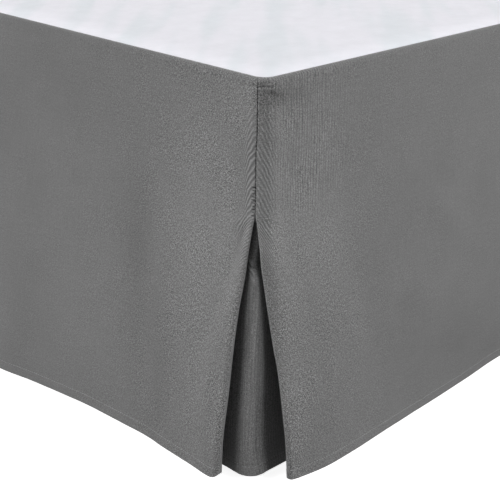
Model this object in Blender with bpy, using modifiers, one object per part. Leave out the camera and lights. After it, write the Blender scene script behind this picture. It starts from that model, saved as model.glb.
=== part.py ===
"""Bed skirt on a box spring foundation.

A white deck cloth lies on the foundation and carries three hanging drops: one across the foot
and one down each side. An inverted pleat opens at each foot corner. It is sewn shut at the top,
and an insert hangs behind it. The head end is open.

Frame: metres, +Z up, the foot end at -Y, the floor at Z = 0 under the middle of the whole part.
On a drop, "along" runs from a foot corner of the deck and "out" runs away from the bed.
"""
import math
from collections import namedtuple

import bmesh
import bpy
import numpy as np

# Driving sizes
BED_WIDTH = 1.524
BED_LENGTH = 2.032
DROP = 0.381
HEM_ABOVE_FLOOR = 0.009
CLOTH = 0.0012
GAP = 0.0003
SEAM_ROOM = 0.0005

# The drops roll over the deck's edge, and the layers of a pleat lie behind each other
ROLL = 0.006
LAYER_GAP = 0.0005
FOLD_RADIUS = CLOTH + LAYER_GAP / 2
RETURN_BEHIND = 2 * FOLD_RADIUS
INSERT_BEHIND = RETURN_BEHIND + 0.0004
DECK_CORNER = 0.010
HEAD_CORNER = 0.004
CORNER_POINTS = 6

# The pleats
SEAM_LENGTH = 0.125
SEAM_GAP = 0.0002
SEAM_DRAW = 0.0002
FOOT_WRAP = 15.5
SIDE_WRAP = 90 - FOOT_WRAP
RETURN_LENGTH = 0.080
RETURN_CLEARANCE = 0.0016
INSERT_LENGTH = 0.160
LEFT_OPENING = 0.85

# The bed base
FOUNDATION_HEIGHT = 0.2286
FOUNDATION_INSET = 0.003
FOUNDATION_CORNER = 0.030
FOUNDATION_EDGE = 0.004
CORNER_SEGMENTS = 5
LEG_TOP_RADIUS = 0.030
LEG_FOOT_RADIUS = 0.022
LEG_SIDES = 24
LEG_FROM_SIDE = 0.110
LEG_FROM_END = 0.150

# How finely the hanging sheets are faceted
ROLL_ANGLES = (0, 20, 45, 70, 90)
DROP_DEPTHS = (0.040, 0.085, SEAM_LENGTH, 0.155, 0.190, 0.243, 0.295, 0.345, DROP)
INSERT_DEPTHS = (0.060, SEAM_LENGTH, 0.185, 0.243, 0.310, DROP)
CURL_STEPS = 4
FOLD_STEPS = 5
BACK_STEPS = 3
CURL_HANDLE = 0.36
LONG_SPAN = 0.200
STRAIGHT_OUT = np.array((0.0, 1.0))
MIRROR = np.array((-1.0, 1.0))

# How far the hem hangs out from the deck's edge: across the foot from the right corner, and
# down each side from the foot corner
Hem = namedtuple("Hem", "along out")
FOOT_HEM = [
    Hem(0.000, 0.0405), Hem(0.075, 0.0395), Hem(0.125, 0.0383), Hem(0.170, 0.0397),
    Hem(0.215, 0.0423), Hem(0.260, 0.0480), Hem(0.307, 0.0550), Hem(0.353, 0.0638),
    Hem(0.460, 0.0720), Hem(0.700, 0.0600), Hem(0.950, 0.0470), Hem(1.180, 0.0530),
    Hem(1.340, 0.0430), Hem(1.450, 0.0370), Hem(1.524, 0.0370),
]
RIGHT_HEM = [
    Hem(0.000, 0.0300), Hem(0.060, 0.0340), Hem(0.087, 0.0330), Hem(0.135, 0.0297),
    Hem(0.190, 0.0257), Hem(0.240, 0.0226), Hem(0.300, 0.0180), Hem(0.354, 0.0130),
    Hem(0.450, 0.0110), Hem(0.700, 0.0220), Hem(0.980, 0.0300), Hem(1.280, 0.0180),
    Hem(1.580, 0.0270), Hem(1.830, 0.0200), Hem(2.032, 0.0160),
]
LEFT_HEM = [
    Hem(0.000, 0.0280), Hem(0.070, 0.0310), Hem(0.160, 0.0270), Hem(0.320, 0.0220),
    Hem(0.560, 0.0340), Hem(0.860, 0.0200), Hem(1.180, 0.0290), Hem(1.480, 0.0170),
    Hem(1.780, 0.0250), Hem(2.032, 0.0180),
]

# The share of the hem's reach that a drop has at each depth, near a pleat and far from one
Fall = namedtuple("Fall", "depth near far")
FALL = [
    Fall(0.000, 0.00, 0.00), Fall(0.060, 0.00, 0.09), Fall(SEAM_LENGTH, 0.00, 0.27),
    Fall(0.185, 0.19, 0.44), Fall(0.243, 0.46, 0.60), Fall(0.290, 0.71, 0.74),
    Fall(0.345, 0.94, 0.90), Fall(DROP, 1.00, 1.00),
]
NEAR_REACH = 0.062
FAR_REACH = 0.220

# Levels, and the bed's place in the frame
DECK_TOP = DROP + HEM_ABOVE_FLOOR
FOUNDATION_TOP = DECK_TOP - CLOTH - GAP
LEG_HEIGHT = FOUNDATION_TOP - FOUNDATION_HEIGHT - GAP
BED_MIDDLE_Y = max(row.out for row in FOOT_HEM) / 2
FOOT_Y = BED_MIDDLE_Y - BED_LENGTH / 2
HEAD_Y = BED_MIDDLE_Y + BED_LENGTH / 2

Finish = namedtuple("Finish", "red green blue roughness")
GREY_TWILL = Finish(0.17, 0.17, 0.17, 0.92)
WHITE_SHEETING = Finish(0.80, 0.81, 0.83, 0.90)
PALE_TICKING = Finish(0.72, 0.70, 0.66, 0.88)
DARK_WOOD = Finish(0.10, 0.06, 0.04, 0.45)

# One level section of a drop's folded end: where its curl starts, the centre, radius and heading
# (degrees turned in towards the bed) of its fold, and how far out the return behind it hangs
Pleat = namedtuple("Pleat", "depth curl_from fold_along fold_out radius heading back_out")


def sewn_fold(depth, wrap):
    """A fold closed against the seam, which stands on the arc round the deck's corner."""
    turn = math.radians(wrap)
    from_corner = DECK_CORNER + ROLL - FOLD_RADIUS - SEAM_DRAW
    from_seam = FOLD_RADIUS + SEAM_GAP
    along = DECK_CORNER - from_corner * math.sin(turn) + from_seam * math.cos(turn)
    out = -DECK_CORNER + from_corner * math.cos(turn) + from_seam * math.sin(turn)
    return Pleat(depth, DECK_CORNER, along, out, FOLD_RADIUS, wrap, ROLL - RETURN_BEHIND)


FOOT_PLEAT = [
    sewn_fold(0.000, FOOT_WRAP),
    sewn_fold(SEAM_LENGTH, FOOT_WRAP),
    Pleat(0.180, 0.032, 0.0141, 0.0122, 0.0030, 12, 0.0080),
    Pleat(0.211, 0.042, 0.0191, 0.0162, 0.0045, 10, 0.0105),
    Pleat(0.243, 0.054, 0.0241, 0.0203, 0.0060, 8, 0.0130),
    Pleat(0.290, 0.060, 0.0305, 0.0238, 0.0080, 5, 0.0150),
    Pleat(0.349, 0.060, 0.0359, 0.0292, 0.0100, 2, 0.0180),
    Pleat(DROP, 0.062, 0.0410, 0.0300, 0.0108, 0, 0.0190),
]
SIDE_PLEAT = [
    sewn_fold(0.000, SIDE_WRAP),
    sewn_fold(SEAM_LENGTH, SIDE_WRAP),
    Pleat(0.157, 0.025, -0.0026, 0.0014, 0.0020, 65, 0.0036),
    Pleat(0.189, 0.035, 0.0008, 0.0037, 0.0025, 55, 0.0042),
    Pleat(0.241, 0.050, 0.0075, 0.0084, 0.0035, 42, 0.0055),
    Pleat(0.276, 0.056, 0.0120, 0.0139, 0.0042, 32, 0.0070),
    Pleat(0.304, 0.060, 0.0145, 0.0183, 0.0048, 24, 0.0085),
    Pleat(0.343, 0.060, 0.0169, 0.0217, 0.0052, 15, 0.0100),
    Pleat(DROP, 0.060, 0.0170, 0.0228, 0.0055, 10, 0.0110),
]

# The insert behind a pleat: how far out its foot and side wings hang, and its corner's radius
Insert = namedtuple("Insert", "depth foot_out side_out corner")
INSERT_TOP = ROLL - INSERT_BEHIND
INSERT = [
    Insert(0.000, INSERT_TOP, INSERT_TOP, 0.0150),
    Insert(SEAM_LENGTH, INSERT_TOP, INSERT_TOP, 0.0170),
    Insert(0.185, 0.0046, 0.0016, 0.0210),
    Insert(0.243, 0.0088, 0.0010, 0.0220),
    Insert(0.290, 0.0118, 0.0010, 0.0210),
    Insert(0.349, 0.0153, 0.0010, 0.0190),
    Insert(DROP, 0.0168, 0.0010, 0.0180),
]

# A point of a level section: its place, the way its cloth faces, the way out from the bed there,
# and how far it lies behind the drop's face where the layers roll over the deck's edge together
Spot = namedtuple("Spot", "place facing outward behind")


# ---- tables and curves

def read(rows, at):
    """The row at any place of a table, its columns joined by monotone cubics."""
    table = np.array(rows, dtype=float)
    keys, values = table[:, 0], table[:, 1:]
    place = min(max(at, keys[0]), keys[-1])
    step = np.diff(keys)[:, None]
    secant = np.diff(values, axis=0) / step
    same_way = secant[:-1] * secant[1:] > 0
    total = np.where(same_way, secant[:-1] + secant[1:], 1.0)
    slope = np.vstack((secant[:1], np.where(same_way, 2 * secant[:-1] * secant[1:] / total, 0.0),
                       secant[-1:]))
    i = min(int(np.searchsorted(keys, place, side="right")) - 1, len(keys) - 2)
    t = (place - keys[i]) / step[i, 0]
    row = values[i] * (1 + 2 * t) * (1 - t) ** 2 + values[i + 1] * t * t * (3 - 2 * t)
    row += step[i, 0] * (slope[i] * t * (1 - t) ** 2 - slope[i + 1] * t * t * (1 - t))
    return type(rows[0])(place, *row)


def opened(rows, share):
    """A pleat's or an insert's table with its opening kept to a share of the full one."""
    sewn = rows[1]
    return [type(sewn)(row.depth, *(shut + share * (wide - shut)
                                    for shut, wide in zip(sewn[1:], row[1:])))
            for row in rows]


LEFT_FOOT_PLEAT = opened(FOOT_PLEAT, LEFT_OPENING)
LEFT_SIDE_PLEAT = opened(SIDE_PLEAT, LEFT_OPENING)
LEFT_INSERT = opened(INSERT, LEFT_OPENING)


def smooth(value):
    clipped = min(max(value, 0.0), 1.0)
    return clipped * clipped * (3 - 2 * clipped)


def curl(start, start_way, end, end_way, steps):
    """Places along a cubic from start to end, each with the way square to it on its left."""
    start, end = np.array(start), np.array(end)
    reach = CURL_HANDLE * np.linalg.norm(end - start)
    handle_a = start + reach * np.array(start_way)
    handle_b = end - reach * np.array(end_way)
    for t in np.linspace(0, 1, steps + 1):
        place = ((1 - t) ** 3 * start + 3 * t * (1 - t) ** 2 * handle_a
                 + 3 * t * t * (1 - t) * handle_b + t ** 3 * end)
        way = ((1 - t) ** 2 * (handle_a - start) + 2 * t * (1 - t) * (handle_b - handle_a)
               + t * t * (end - handle_b))
        way /= np.linalg.norm(way)
        yield place, np.array((way[1], -way[0]))


# ---- level sections of the hanging sheets

def face(hem, along, depth, from_pleat):
    """The spot on a drop's plain face at a place along it, at one depth."""
    fall = read(FALL, depth)
    away = smooth((from_pleat - NEAR_REACH) / (FAR_REACH - NEAR_REACH))
    share = fall.near + away * (fall.far - fall.near)
    out = ROLL + share * (read(hem, along).out - ROLL)
    return Spot(np.array((along, out)), STRAIGHT_OUT, STRAIGHT_OUT, 0.0)


def pleat_end(pleat, start_out, insert_out):
    """A drop's folded end at one depth: its curl, its fold, and the return back behind it.

    start_out is how far out the drop hangs where the curl starts, insert_out how far the
    insert's wing does.
    """
    turn = math.radians(pleat.heading)
    way = np.array((-math.cos(turn), -math.sin(turn)))
    normal = np.array((-math.sin(turn), math.cos(turn)))
    centre = np.array((pleat.fold_along, pleat.fold_out))
    front = curl((pleat.curl_from, start_out), (-1, 0), centre + pleat.radius * normal, way,
                 CURL_STEPS)
    spots = [Spot(place, outward, outward, 0.0) for place, outward in front]
    for angle in np.linspace(0, math.pi, FOLD_STEPS + 1)[1:-1]:
        spoke = math.cos(angle) * normal + math.sin(angle) * way
        spots.append(Spot(centre + pleat.radius * spoke, spoke, normal,
                          FOLD_RADIUS * (1 - math.cos(angle))))
    back = curl(centre - pleat.radius * normal, -way, (pleat.curl_from, pleat.back_out), (1, 0),
                BACK_STEPS)
    spots += [Spot(place, inward, -inward, RETURN_BEHIND) for place, inward in back]
    end = np.array((RETURN_LENGTH, min(pleat.back_out, insert_out + RETURN_CLEARANCE)))
    return spots + [Spot(end, -STRAIGHT_OUT, STRAIGHT_OUT, RETURN_BEHIND)]


def stations(hem, first, last):
    """A hem table's own places between two limits, with one midway where they lie far apart."""
    own = [row.along for row in hem if first < row.along <= last]
    midway = [(a + b) / 2 for a, b in zip(own, own[1:]) if b - a > LONG_SPAN]
    return sorted(own + midway)


def foot_drop(depth):
    """The foot drop, from the return behind its right end to the return behind its left."""
    right, left = read(FOOT_PLEAT, depth), read(LEFT_FOOT_PLEAT, depth)
    right_start = face(FOOT_HEM, right.curl_from, depth, right.curl_from).place[1]
    left_start = face(FOOT_HEM, BED_WIDTH - left.curl_from, depth, left.curl_from).place[1]
    right_end = pleat_end(right, right_start, read(INSERT, depth).foot_out)
    left_end = pleat_end(left, left_start, read(LEFT_INSERT, depth).foot_out)
    run = [face(FOOT_HEM, along, depth, min(along, BED_WIDTH - along))
           for along in stations(FOOT_HEM, NEAR_REACH, BED_WIDTH - NEAR_REACH)]
    mirrored = [Spot((BED_WIDTH, 0) + spot.place * MIRROR, spot.facing * MIRROR,
                     spot.outward * MIRROR, spot.behind) for spot in left_end]
    return right_end[::-1] + run + mirrored


def side_drop(hem, pleats, inserts):
    """A side drop's section: the return behind its foot end, round its fold, on to the head."""
    def section(depth):
        pleat = read(pleats, depth)
        start_out = face(hem, pleat.curl_from, depth, pleat.curl_from).place[1]
        end = pleat_end(pleat, start_out, read(inserts, depth).side_out)
        run = [face(hem, along, depth, along)
               for along in stations(hem, NEAR_REACH, BED_LENGTH)]
        return end[::-1] + run
    return section


def insert_wings(inserts):
    """An insert's section: along the foot, round the corner, and on down the side."""
    def section(depth):
        row = read(inserts, depth)
        middle = np.array((row.corner - row.side_out, row.foot_out - row.corner))
        ends = [(np.array((INSERT_LENGTH, row.foot_out)), 0.0)]
        for angle in np.linspace(0, math.pi / 2, CORNER_POINTS):
            ends.append((middle + row.corner * turned_out(angle), angle))
        ends.append((np.array((-row.side_out, -INSERT_LENGTH)), math.pi / 2))
        return [Spot(place, turned_out(angle), turned_out(angle), INSERT_BEHIND)
                for place, angle in ends]
    return section


def turned_out(angle):
    """The way out from the bed, turned from the foot towards the side by an angle."""
    return np.array((-math.sin(angle), math.cos(angle)))


# ---- where a section lies in plan

def along_foot(along, out):
    """From the right foot corner, across the foot."""
    return BED_WIDTH / 2 - along, FOOT_Y - out


def along_foot_from_left(along, out):
    return along - BED_WIDTH / 2, FOOT_Y - out


def up_right_side(along, out):
    return BED_WIDTH / 2 + out, FOOT_Y + along


def up_left_side(along, out):
    return -BED_WIDTH / 2 - out, FOOT_Y + along


# ---- solids

def own_material(name, finish):
    material = bpy.data.materials.new(name)
    material.use_nodes = True
    shader = material.node_tree.nodes["Principled BSDF"]
    shader.inputs["Base Color"].default_value = (finish.red, finish.green, finish.blue, 1.0)
    shader.inputs["Roughness"].default_value = finish.roughness
    shader.inputs["Metallic"].default_value = 0.0
    return material


def finished(obj, name, finish, collection):
    """Name an object, give it its own material and put it in the part's collection."""
    obj.name = name
    obj.data.name = name
    obj.data.materials.append(own_material(name, finish))
    for holder in list(obj.users_collection):
        holder.objects.unlink(obj)
    collection.objects.link(obj)
    return obj


def skin(section, place, depths, inside):
    """Rows of points of one face of a hanging sheet: over the deck's edge, then down to the hem.

    inside is how far that face lies within the cloth, measured from its outer face.
    """
    rows = []
    for angle in ROLL_ANGLES:
        lean = math.radians(angle)
        row = []
        for spot in section(ROLL):
            within = inside * spot.facing
            radius = ROLL - spot.behind - within @ spot.outward
            back = radius * (1 - math.sin(lean)) * spot.outward
            height = DECK_TOP - ROLL + radius * math.cos(lean)
            row.append((*place(*(spot.place - within - back)), height))
        rows.append(row)
    for depth in depths:
        rows.append([(*place(*(spot.place - inside * spot.facing)), DECK_TOP - depth)
                     for spot in section(depth)])
    return rows


def hanging_sheet(name, section, place, depths, collection, turned=False):
    """A sheet lofted between its two faces, so that its tight folds keep their thickness."""
    mesh = bmesh.new()
    outer, inner = ([[mesh.verts.new(point) for point in (row[::-1] if turned else row)]
                     for row in skin(section, place, depths, inside)]
                    for inside in (0.0, CLOTH))
    for grid, order in ((outer, 1), (inner, -1)):
        for upper, lower in zip(grid, grid[1:]):
            for i in range(len(upper) - 1):
                mesh.faces.new((upper[i], upper[i + 1], lower[i + 1], lower[i])[::order])
    for front, back in ((outer[0][::-1], inner[0][::-1]), (outer[-1], inner[-1]),
                        ([row[0] for row in outer], [row[0] for row in inner]),
                        ([row[-1] for row in outer[::-1]], [row[-1] for row in inner[::-1]])):
        for i in range(len(front) - 1):
            mesh.faces.new((front[i], front[i + 1], back[i + 1], back[i]))
    data = bpy.data.meshes.new(name)
    mesh.to_mesh(data)
    mesh.free()
    data.shade_smooth()
    return finished(bpy.data.objects.new(name, data), name, GREY_TWILL, collection)


def deck(collection):
    """The flat cloth under the mattress: a rounded outline, extruded to its thickness."""
    half_width = BED_WIDTH / 2 - SEAM_ROOM
    foot, head = FOOT_Y + SEAM_ROOM, HEAD_Y
    corners = [
        (half_width, foot, DECK_CORNER - SEAM_ROOM, 270), (half_width, head, HEAD_CORNER, 0),
        (-half_width, head, HEAD_CORNER, 90), (-half_width, foot, DECK_CORNER - SEAM_ROOM, 180),
    ]
    outline = []
    for x, y, radius, first in corners:
        centre_x, centre_y = x - math.copysign(radius, x), y - math.copysign(radius, y)
        for angle in np.radians(np.linspace(first, first + 90, CORNER_POINTS)):
            outline.append((centre_x + radius * math.cos(angle),
                            centre_y + radius * math.sin(angle)))
    shape = bpy.data.curves.new("deck", "CURVE")
    shape.dimensions = "2D"
    shape.fill_mode = "BOTH"
    shape.extrude = CLOTH / 2
    spline = shape.splines.new("POLY")
    spline.points.add(len(outline) - 1)
    for point, (x, y) in zip(spline.points, outline):
        point.co = (x, y, 0.0, 1.0)
    spline.use_cyclic_u = True
    cloth = finished(bpy.data.objects.new("deck", shape), "deck", WHITE_SHEETING, collection)
    cloth.location.z = DECK_TOP - CLOTH / 2
    return cloth


def foundation(collection):
    """The plain bed base under the deck, its upright corners and its edges rounded."""
    width = BED_WIDTH - 2 * FOUNDATION_INSET
    length = BED_LENGTH - 2 * FOUNDATION_INSET
    bpy.ops.mesh.primitive_cube_add(
        size=1, location=(0, BED_MIDDLE_Y, FOUNDATION_TOP - FOUNDATION_HEIGHT / 2))
    base = finished(bpy.context.object, "foundation", PALE_TICKING, collection)
    shape = bmesh.new()
    shape.from_mesh(base.data)
    bmesh.ops.scale(shape, vec=(width, length, FOUNDATION_HEIGHT), verts=shape.verts)
    upright = [edge for edge in shape.edges
               if abs(edge.verts[0].co.z - edge.verts[1].co.z) > FOUNDATION_HEIGHT / 2]
    bmesh.ops.bevel(shape, geom=upright, offset=FOUNDATION_CORNER, offset_type="OFFSET",
                    segments=CORNER_SEGMENTS, profile=0.5, affect="EDGES")
    shape.to_mesh(base.data)
    shape.free()
    edges = base.modifiers.new("edges", "BEVEL")
    edges.width = FOUNDATION_EDGE
    edges.segments = 2
    edges.limit_method = "ANGLE"
    edges.angle_limit = math.radians(60)
    return base


def legs(collection):
    """Six turned legs, three down each side, narrowing to the floor."""
    places = [("foot", FOOT_Y + LEG_FROM_END), ("middle", BED_MIDDLE_Y),
              ("head", HEAD_Y - LEG_FROM_END)]
    for side, sign in (("right", 1), ("left", -1)):
        for end, y in places:
            bpy.ops.mesh.primitive_cone_add(
                vertices=LEG_SIDES, radius1=LEG_FOOT_RADIUS, radius2=LEG_TOP_RADIUS,
                depth=LEG_HEIGHT, location=(sign * (BED_WIDTH / 2 - LEG_FROM_SIDE), y,
                                            LEG_HEIGHT / 2))
            finished(bpy.context.object, f"leg_{end}_{side}", DARK_WOOD, collection)


# ---- build

for old in list(bpy.data.objects):
    bpy.data.objects.remove(old, do_unlink=True)

part = bpy.data.collections.new("bed_skirt")
bpy.context.scene.collection.children.link(part)

deck(part)
hanging_sheet("drop_foot", foot_drop, along_foot, DROP_DEPTHS, part)
hanging_sheet("drop_right", side_drop(RIGHT_HEM, SIDE_PLEAT, INSERT), up_right_side,
              DROP_DEPTHS, part, turned=True)
hanging_sheet("drop_left", side_drop(LEFT_HEM, LEFT_SIDE_PLEAT, LEFT_INSERT), up_left_side,
              DROP_DEPTHS, part)
hanging_sheet("insert_right", insert_wings(INSERT), along_foot, INSERT_DEPTHS, part, turned=True)
hanging_sheet("insert_left", insert_wings(LEFT_INSERT), along_foot_from_left, INSERT_DEPTHS, part)
foundation(part)
legs(part)
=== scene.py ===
"""Bed skirt on a box spring foundation: the looks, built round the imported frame.

Metres, +Z up, the foot end at -Y, the floor at Z = 0. The sections follow the bed as it is put
together: foundation, legs, deck cloth, drops, pleat inserts, then the floor, lights and camera.
"""
import math
from collections import namedtuple

import bpy
import numpy as np
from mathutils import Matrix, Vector


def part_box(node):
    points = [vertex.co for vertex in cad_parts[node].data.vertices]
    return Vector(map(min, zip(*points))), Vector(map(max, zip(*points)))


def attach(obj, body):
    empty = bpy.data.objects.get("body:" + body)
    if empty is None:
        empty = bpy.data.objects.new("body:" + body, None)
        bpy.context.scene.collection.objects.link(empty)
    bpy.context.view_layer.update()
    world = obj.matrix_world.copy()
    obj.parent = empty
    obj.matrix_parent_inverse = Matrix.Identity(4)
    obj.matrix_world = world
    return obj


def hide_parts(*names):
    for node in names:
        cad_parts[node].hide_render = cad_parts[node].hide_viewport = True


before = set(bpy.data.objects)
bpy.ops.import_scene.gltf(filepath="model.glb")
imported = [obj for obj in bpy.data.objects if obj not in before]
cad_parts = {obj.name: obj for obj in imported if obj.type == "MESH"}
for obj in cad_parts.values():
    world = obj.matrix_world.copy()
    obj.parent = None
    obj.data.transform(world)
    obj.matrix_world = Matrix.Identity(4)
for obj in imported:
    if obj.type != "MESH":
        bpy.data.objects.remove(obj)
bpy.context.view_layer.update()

# ---- box spring foundation
# The real piece is a timber frame of springs inside a quilted pale ticking. The ticking is cut
# as a top, a bottom and a border, sewn together along a corded welt at each edge.

BASE_LOW, BASE_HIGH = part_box("foundation")
BASE_CORNER = 0.030
WELT_RADIUS = 0.0034
BORDER_INSET = 0.0026
BORDER_CROWN = 0.0013
BORDER_START = 0.004
BORDER_ROWS = 13
BORDER_STEPS = 160
WELT_SEAT_INSET, WELT_SEAT_RISE = 0.0052, 0.0010
COVER_INSET, COVER_RISE = 0.016, 0.0006
TICKING_CREAM = (0.66, 0.63, 0.57)
STRIPE_GREY = (0.50, 0.50, 0.49)
TICKING_YARN, TICKING_SLUB, TICKING_MOTTLE = 0.0011, 0.015, 0.11
TICKING_STRIPE = 0.046

# A size of swell in cloth: how far it stands out, and how long it is across and down
Swell = namedtuple("Swell", "rise across down")
BORDER_SWELL = Swell(0.0009, 0.16, 0.11)


def feed(tree, value, socket):
    """Give a node's input a value: a link from another node's socket, or a plain one."""
    if isinstance(value, bpy.types.NodeSocket):
        tree.links.new(value, socket)
    else:
        socket.default_value = value


def add(tree, kind, inputs=None, **settings):
    """Add a node to a tree, apply its settings, then set or link its inputs."""
    made = tree.nodes.new(kind)
    for name, value in settings.items():
        setattr(made, name, value)
    for key, value in (inputs or {}).items():
        feed(tree, value, made.inputs[key])
    return made


def calc(tree, operation, *values):
    """A math node's result from numbers and sockets."""
    inputs = dict(enumerate(values))
    return add(tree, "ShaderNodeMath", inputs, operation=operation).outputs[0]


def eased(tree, value, low, high):
    """0 below low, 1 above high, eased in between."""
    limits = {"Value": value, "From Min": low, "From Max": high}
    return add(tree, "ShaderNodeMapRange", limits, interpolation_type="SMOOTHSTEP").outputs[0]


def mixed(tree, kind, share, first, second, blend="MIX"):
    """A Mix node's result for colours (RGBA) or numbers (FLOAT)."""
    made = add(tree, "ShaderNodeMix", {0: share}, data_type=kind)
    first_in, second_in, result = (6, 7, 2) if kind == "RGBA" else (2, 3, 0)
    if kind == "RGBA":
        made.blend_type = blend
    for number, value in ((first_in, first), (second_in, second)):
        if kind == "RGBA" and not isinstance(value, bpy.types.NodeSocket):
            value = (*value, 1.0)
        feed(tree, value, made.inputs[number])
    return made.outputs[result]


def streaks(tree, across, down, width, length, detail=1.0):
    """Noise drawn out into streaks, from two coordinates in metres."""
    place = add(tree, "ShaderNodeCombineXYZ", {0: calc(tree, "DIVIDE", across, width),
                                               1: calc(tree, "DIVIDE", down, length)})
    noise = {"Vector": place.outputs[0], "Scale": 1.0, "Detail": detail, "Roughness": 0.5}
    return add(tree, "ShaderNodeTexNoise", noise, noise_dimensions="2D").outputs["Fac"]


def woven_cloth():
    """A shader group for woven cloth: yarns over and under each other, each a little uneven.

    Weave is the height of the yarns from 0 to 1, Tone their lightness about 0.5, and Mottle a
    broad unevenness about 0.5.
    """
    tree = bpy.data.node_groups.new("woven_cloth", "ShaderNodeTree")
    for name, default in (("Warp Yarn", 0.0008), ("Weft Yarn", 0.0008), ("Warp Length", 0.006),
                          ("Weft Length", 0.006), ("Mottle Size", 0.08)):
        socket = tree.interface.new_socket(name, in_out="INPUT", socket_type="NodeSocketFloat")
        socket.default_value = default
    tree.interface.new_socket("Place", in_out="INPUT", socket_type="NodeSocketVector")
    for name in ("Weave", "Tone", "Mottle"):
        tree.interface.new_socket(name, in_out="OUTPUT", socket_type="NodeSocketFloat")
    given = tree.nodes.new("NodeGroupInput").outputs
    result = tree.nodes.new("NodeGroupOutput").inputs
    place = add(tree, "ShaderNodeSeparateXYZ", {0: given["Place"]}).outputs
    warp = calc(tree, "DIVIDE", place[0], given["Warp Yarn"])
    weft = calc(tree, "DIVIDE", place[1], given["Weft Yarn"])
    warp_round = calc(tree, "ABSOLUTE", calc(tree, "COSINE", calc(tree, "MULTIPLY", warp, math.pi)))
    weft_round = calc(tree, "ABSOLUTE", calc(tree, "COSINE", calc(tree, "MULTIPLY", weft, math.pi)))
    wale = calc(tree, "SINE", calc(tree, "MULTIPLY", calc(tree, "ADD", warp, weft), math.pi / 2))
    warp_up = eased(tree, wale, -0.35, 0.35)
    tree.links.new(mixed(tree, "FLOAT", warp_up, weft_round, warp_round), result["Weave"])
    warp_tone = streaks(tree, place[0], place[1], given["Warp Yarn"], given["Warp Length"])
    weft_tone = streaks(tree, place[1], place[0], given["Weft Yarn"], given["Weft Length"])
    tone = mixed(tree, "FLOAT", warp_up, weft_tone, warp_tone)
    tree.links.new(eased(tree, tone, 0.28, 0.72), result["Tone"])
    mottle = {"Vector": given["Place"], "Scale": calc(tree, "DIVIDE", 1.0, given["Mottle Size"]),
              "Detail": 3.0, "Roughness": 0.55}
    tree.links.new(add(tree, "ShaderNodeTexNoise", mottle, noise_dimensions="2D").outputs["Fac"],
                   result["Mottle"])
    return tree


WOVEN_CLOTH = woven_cloth()


def bare_material(name, roughness, sheen=0.0):
    """A new material with only its Principled shader set, its tree, and the shader."""
    material = bpy.data.materials.new(name)
    material.use_nodes = True
    shader = material.node_tree.nodes["Principled BSDF"]
    shader.inputs["Roughness"].default_value = roughness
    shader.inputs["Specular IOR Level"].default_value = 0.25
    shader.inputs["Sheen Weight"].default_value = sheen
    return material, material.node_tree, shader


def weave_of(tree, place, yarn, warp_length, weft_length, mottle):
    """The woven cloth group in a material's tree, with that cloth's yarn sizes."""
    sizes = {"Place": place, "Warp Yarn": yarn, "Weft Yarn": yarn, "Warp Length": warp_length,
             "Weft Length": weft_length, "Mottle Size": mottle}
    return add(tree, "ShaderNodeGroup", sizes, node_tree=WOVEN_CLOTH).outputs


def shaded(tree, colour, *swings):
    """A colour made lighter and darker by masks about 0.5, each with how far it swings."""
    light = 1.0
    for mask, swing in swings:
        swung = calc(tree, "MULTIPLY_ADD", mask, 2 * swing, 1 - swing)
        light = calc(tree, "MULTIPLY", light, swung)
    grey = add(tree, "ShaderNodeCombineXYZ", {0: light, 1: light, 2: light}).outputs[0]
    return mixed(tree, "RGBA", 1.0, colour, grey, "MULTIPLY")


def raised(tree, shader, height):
    """Feed a height in metres to a shader's normal."""
    bump = add(tree, "ShaderNodeBump", {"Height": height, "Strength": 1.0, "Distance": 1.0})
    tree.links.new(bump.outputs[0], shader.inputs["Normal"])


def ticking():
    """Cream cotton ticking with a faint woven stripe."""
    material, tree, shader = bare_material("cream_ticking", 0.88, sheen=0.1)
    place = add(tree, "ShaderNodeUVMap", uv_map="cloth").outputs[0]
    weave = weave_of(tree, place, TICKING_YARN, TICKING_SLUB, TICKING_SLUB, TICKING_MOTTLE)
    across = add(tree, "ShaderNodeSeparateXYZ", {0: place}).outputs[0]
    wave = calc(tree, "SINE", calc(tree, "MULTIPLY", across, 2 * math.pi / TICKING_STRIPE))
    stripe = eased(tree, wave, 0.80, 0.86)
    colour = shaded(tree, TICKING_CREAM, (weave["Tone"], 0.05), (weave["Mottle"], 0.05))
    colour = mixed(tree, "RGBA", calc(tree, "MULTIPLY", stripe, 0.45), colour, STRIPE_GREY)
    tree.links.new(colour, shader.inputs["Base Color"])
    raised(tree, shader, calc(tree, "MULTIPLY", weave["Weave"], 0.00016))
    return material


TICKING = ticking()


def placed(name, data):
    """A new object in the scene, made of a mesh, curve, light or camera."""
    made = bpy.data.objects.new(name, data)
    bpy.context.scene.collection.objects.link(made)
    return made


def made_mesh(name, points, faces, places, material):
    """A smooth mesh object with the UV map "cloth", given a place on the cloth for each point."""
    data = bpy.data.meshes.new(name)
    data.from_pydata([tuple(p) for p in points], [], faces)
    corners = np.zeros(len(data.loops), dtype=np.int32)
    data.loops.foreach_get("vertex_index", corners)
    uv = data.uv_layers.new(name="cloth")
    uv.data.foreach_set("uv", np.asarray(places, dtype=np.float32)[corners].ravel())
    data.polygons.foreach_set("use_smooth", [True] * len(data.polygons))
    data.materials.append(material)
    return placed(name, data)


def soft_noise(across, down, across_size, down_size, seed):
    """Smooth unevenness from -1 to 1, for arrays of places and the size of its swells."""
    lattice = np.random.default_rng(seed).uniform(-1, 1, (64, 64))
    x, y = np.broadcast_arrays(across / across_size, down / down_size)
    i, j = np.floor(x).astype(int), np.floor(y).astype(int)
    s, t = x - i, y - j
    s, t = s * s * (3 - 2 * s), t * t * (3 - 2 * t)
    near, far = (lattice[(i + a) % 64, j % 64] * (1 - t) + lattice[(i + a) % 64, (j + 1) % 64] * t
                 for a in (0, 1))
    return near * (1 - s) + far * s


def swelling(across, down, swell, seed, loose=1.0):
    """How far one size of swell makes cloth stand out, for how loosely it hangs."""
    return swell.rise * loose * soft_noise(across, down, swell.across, swell.down, seed)


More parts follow.
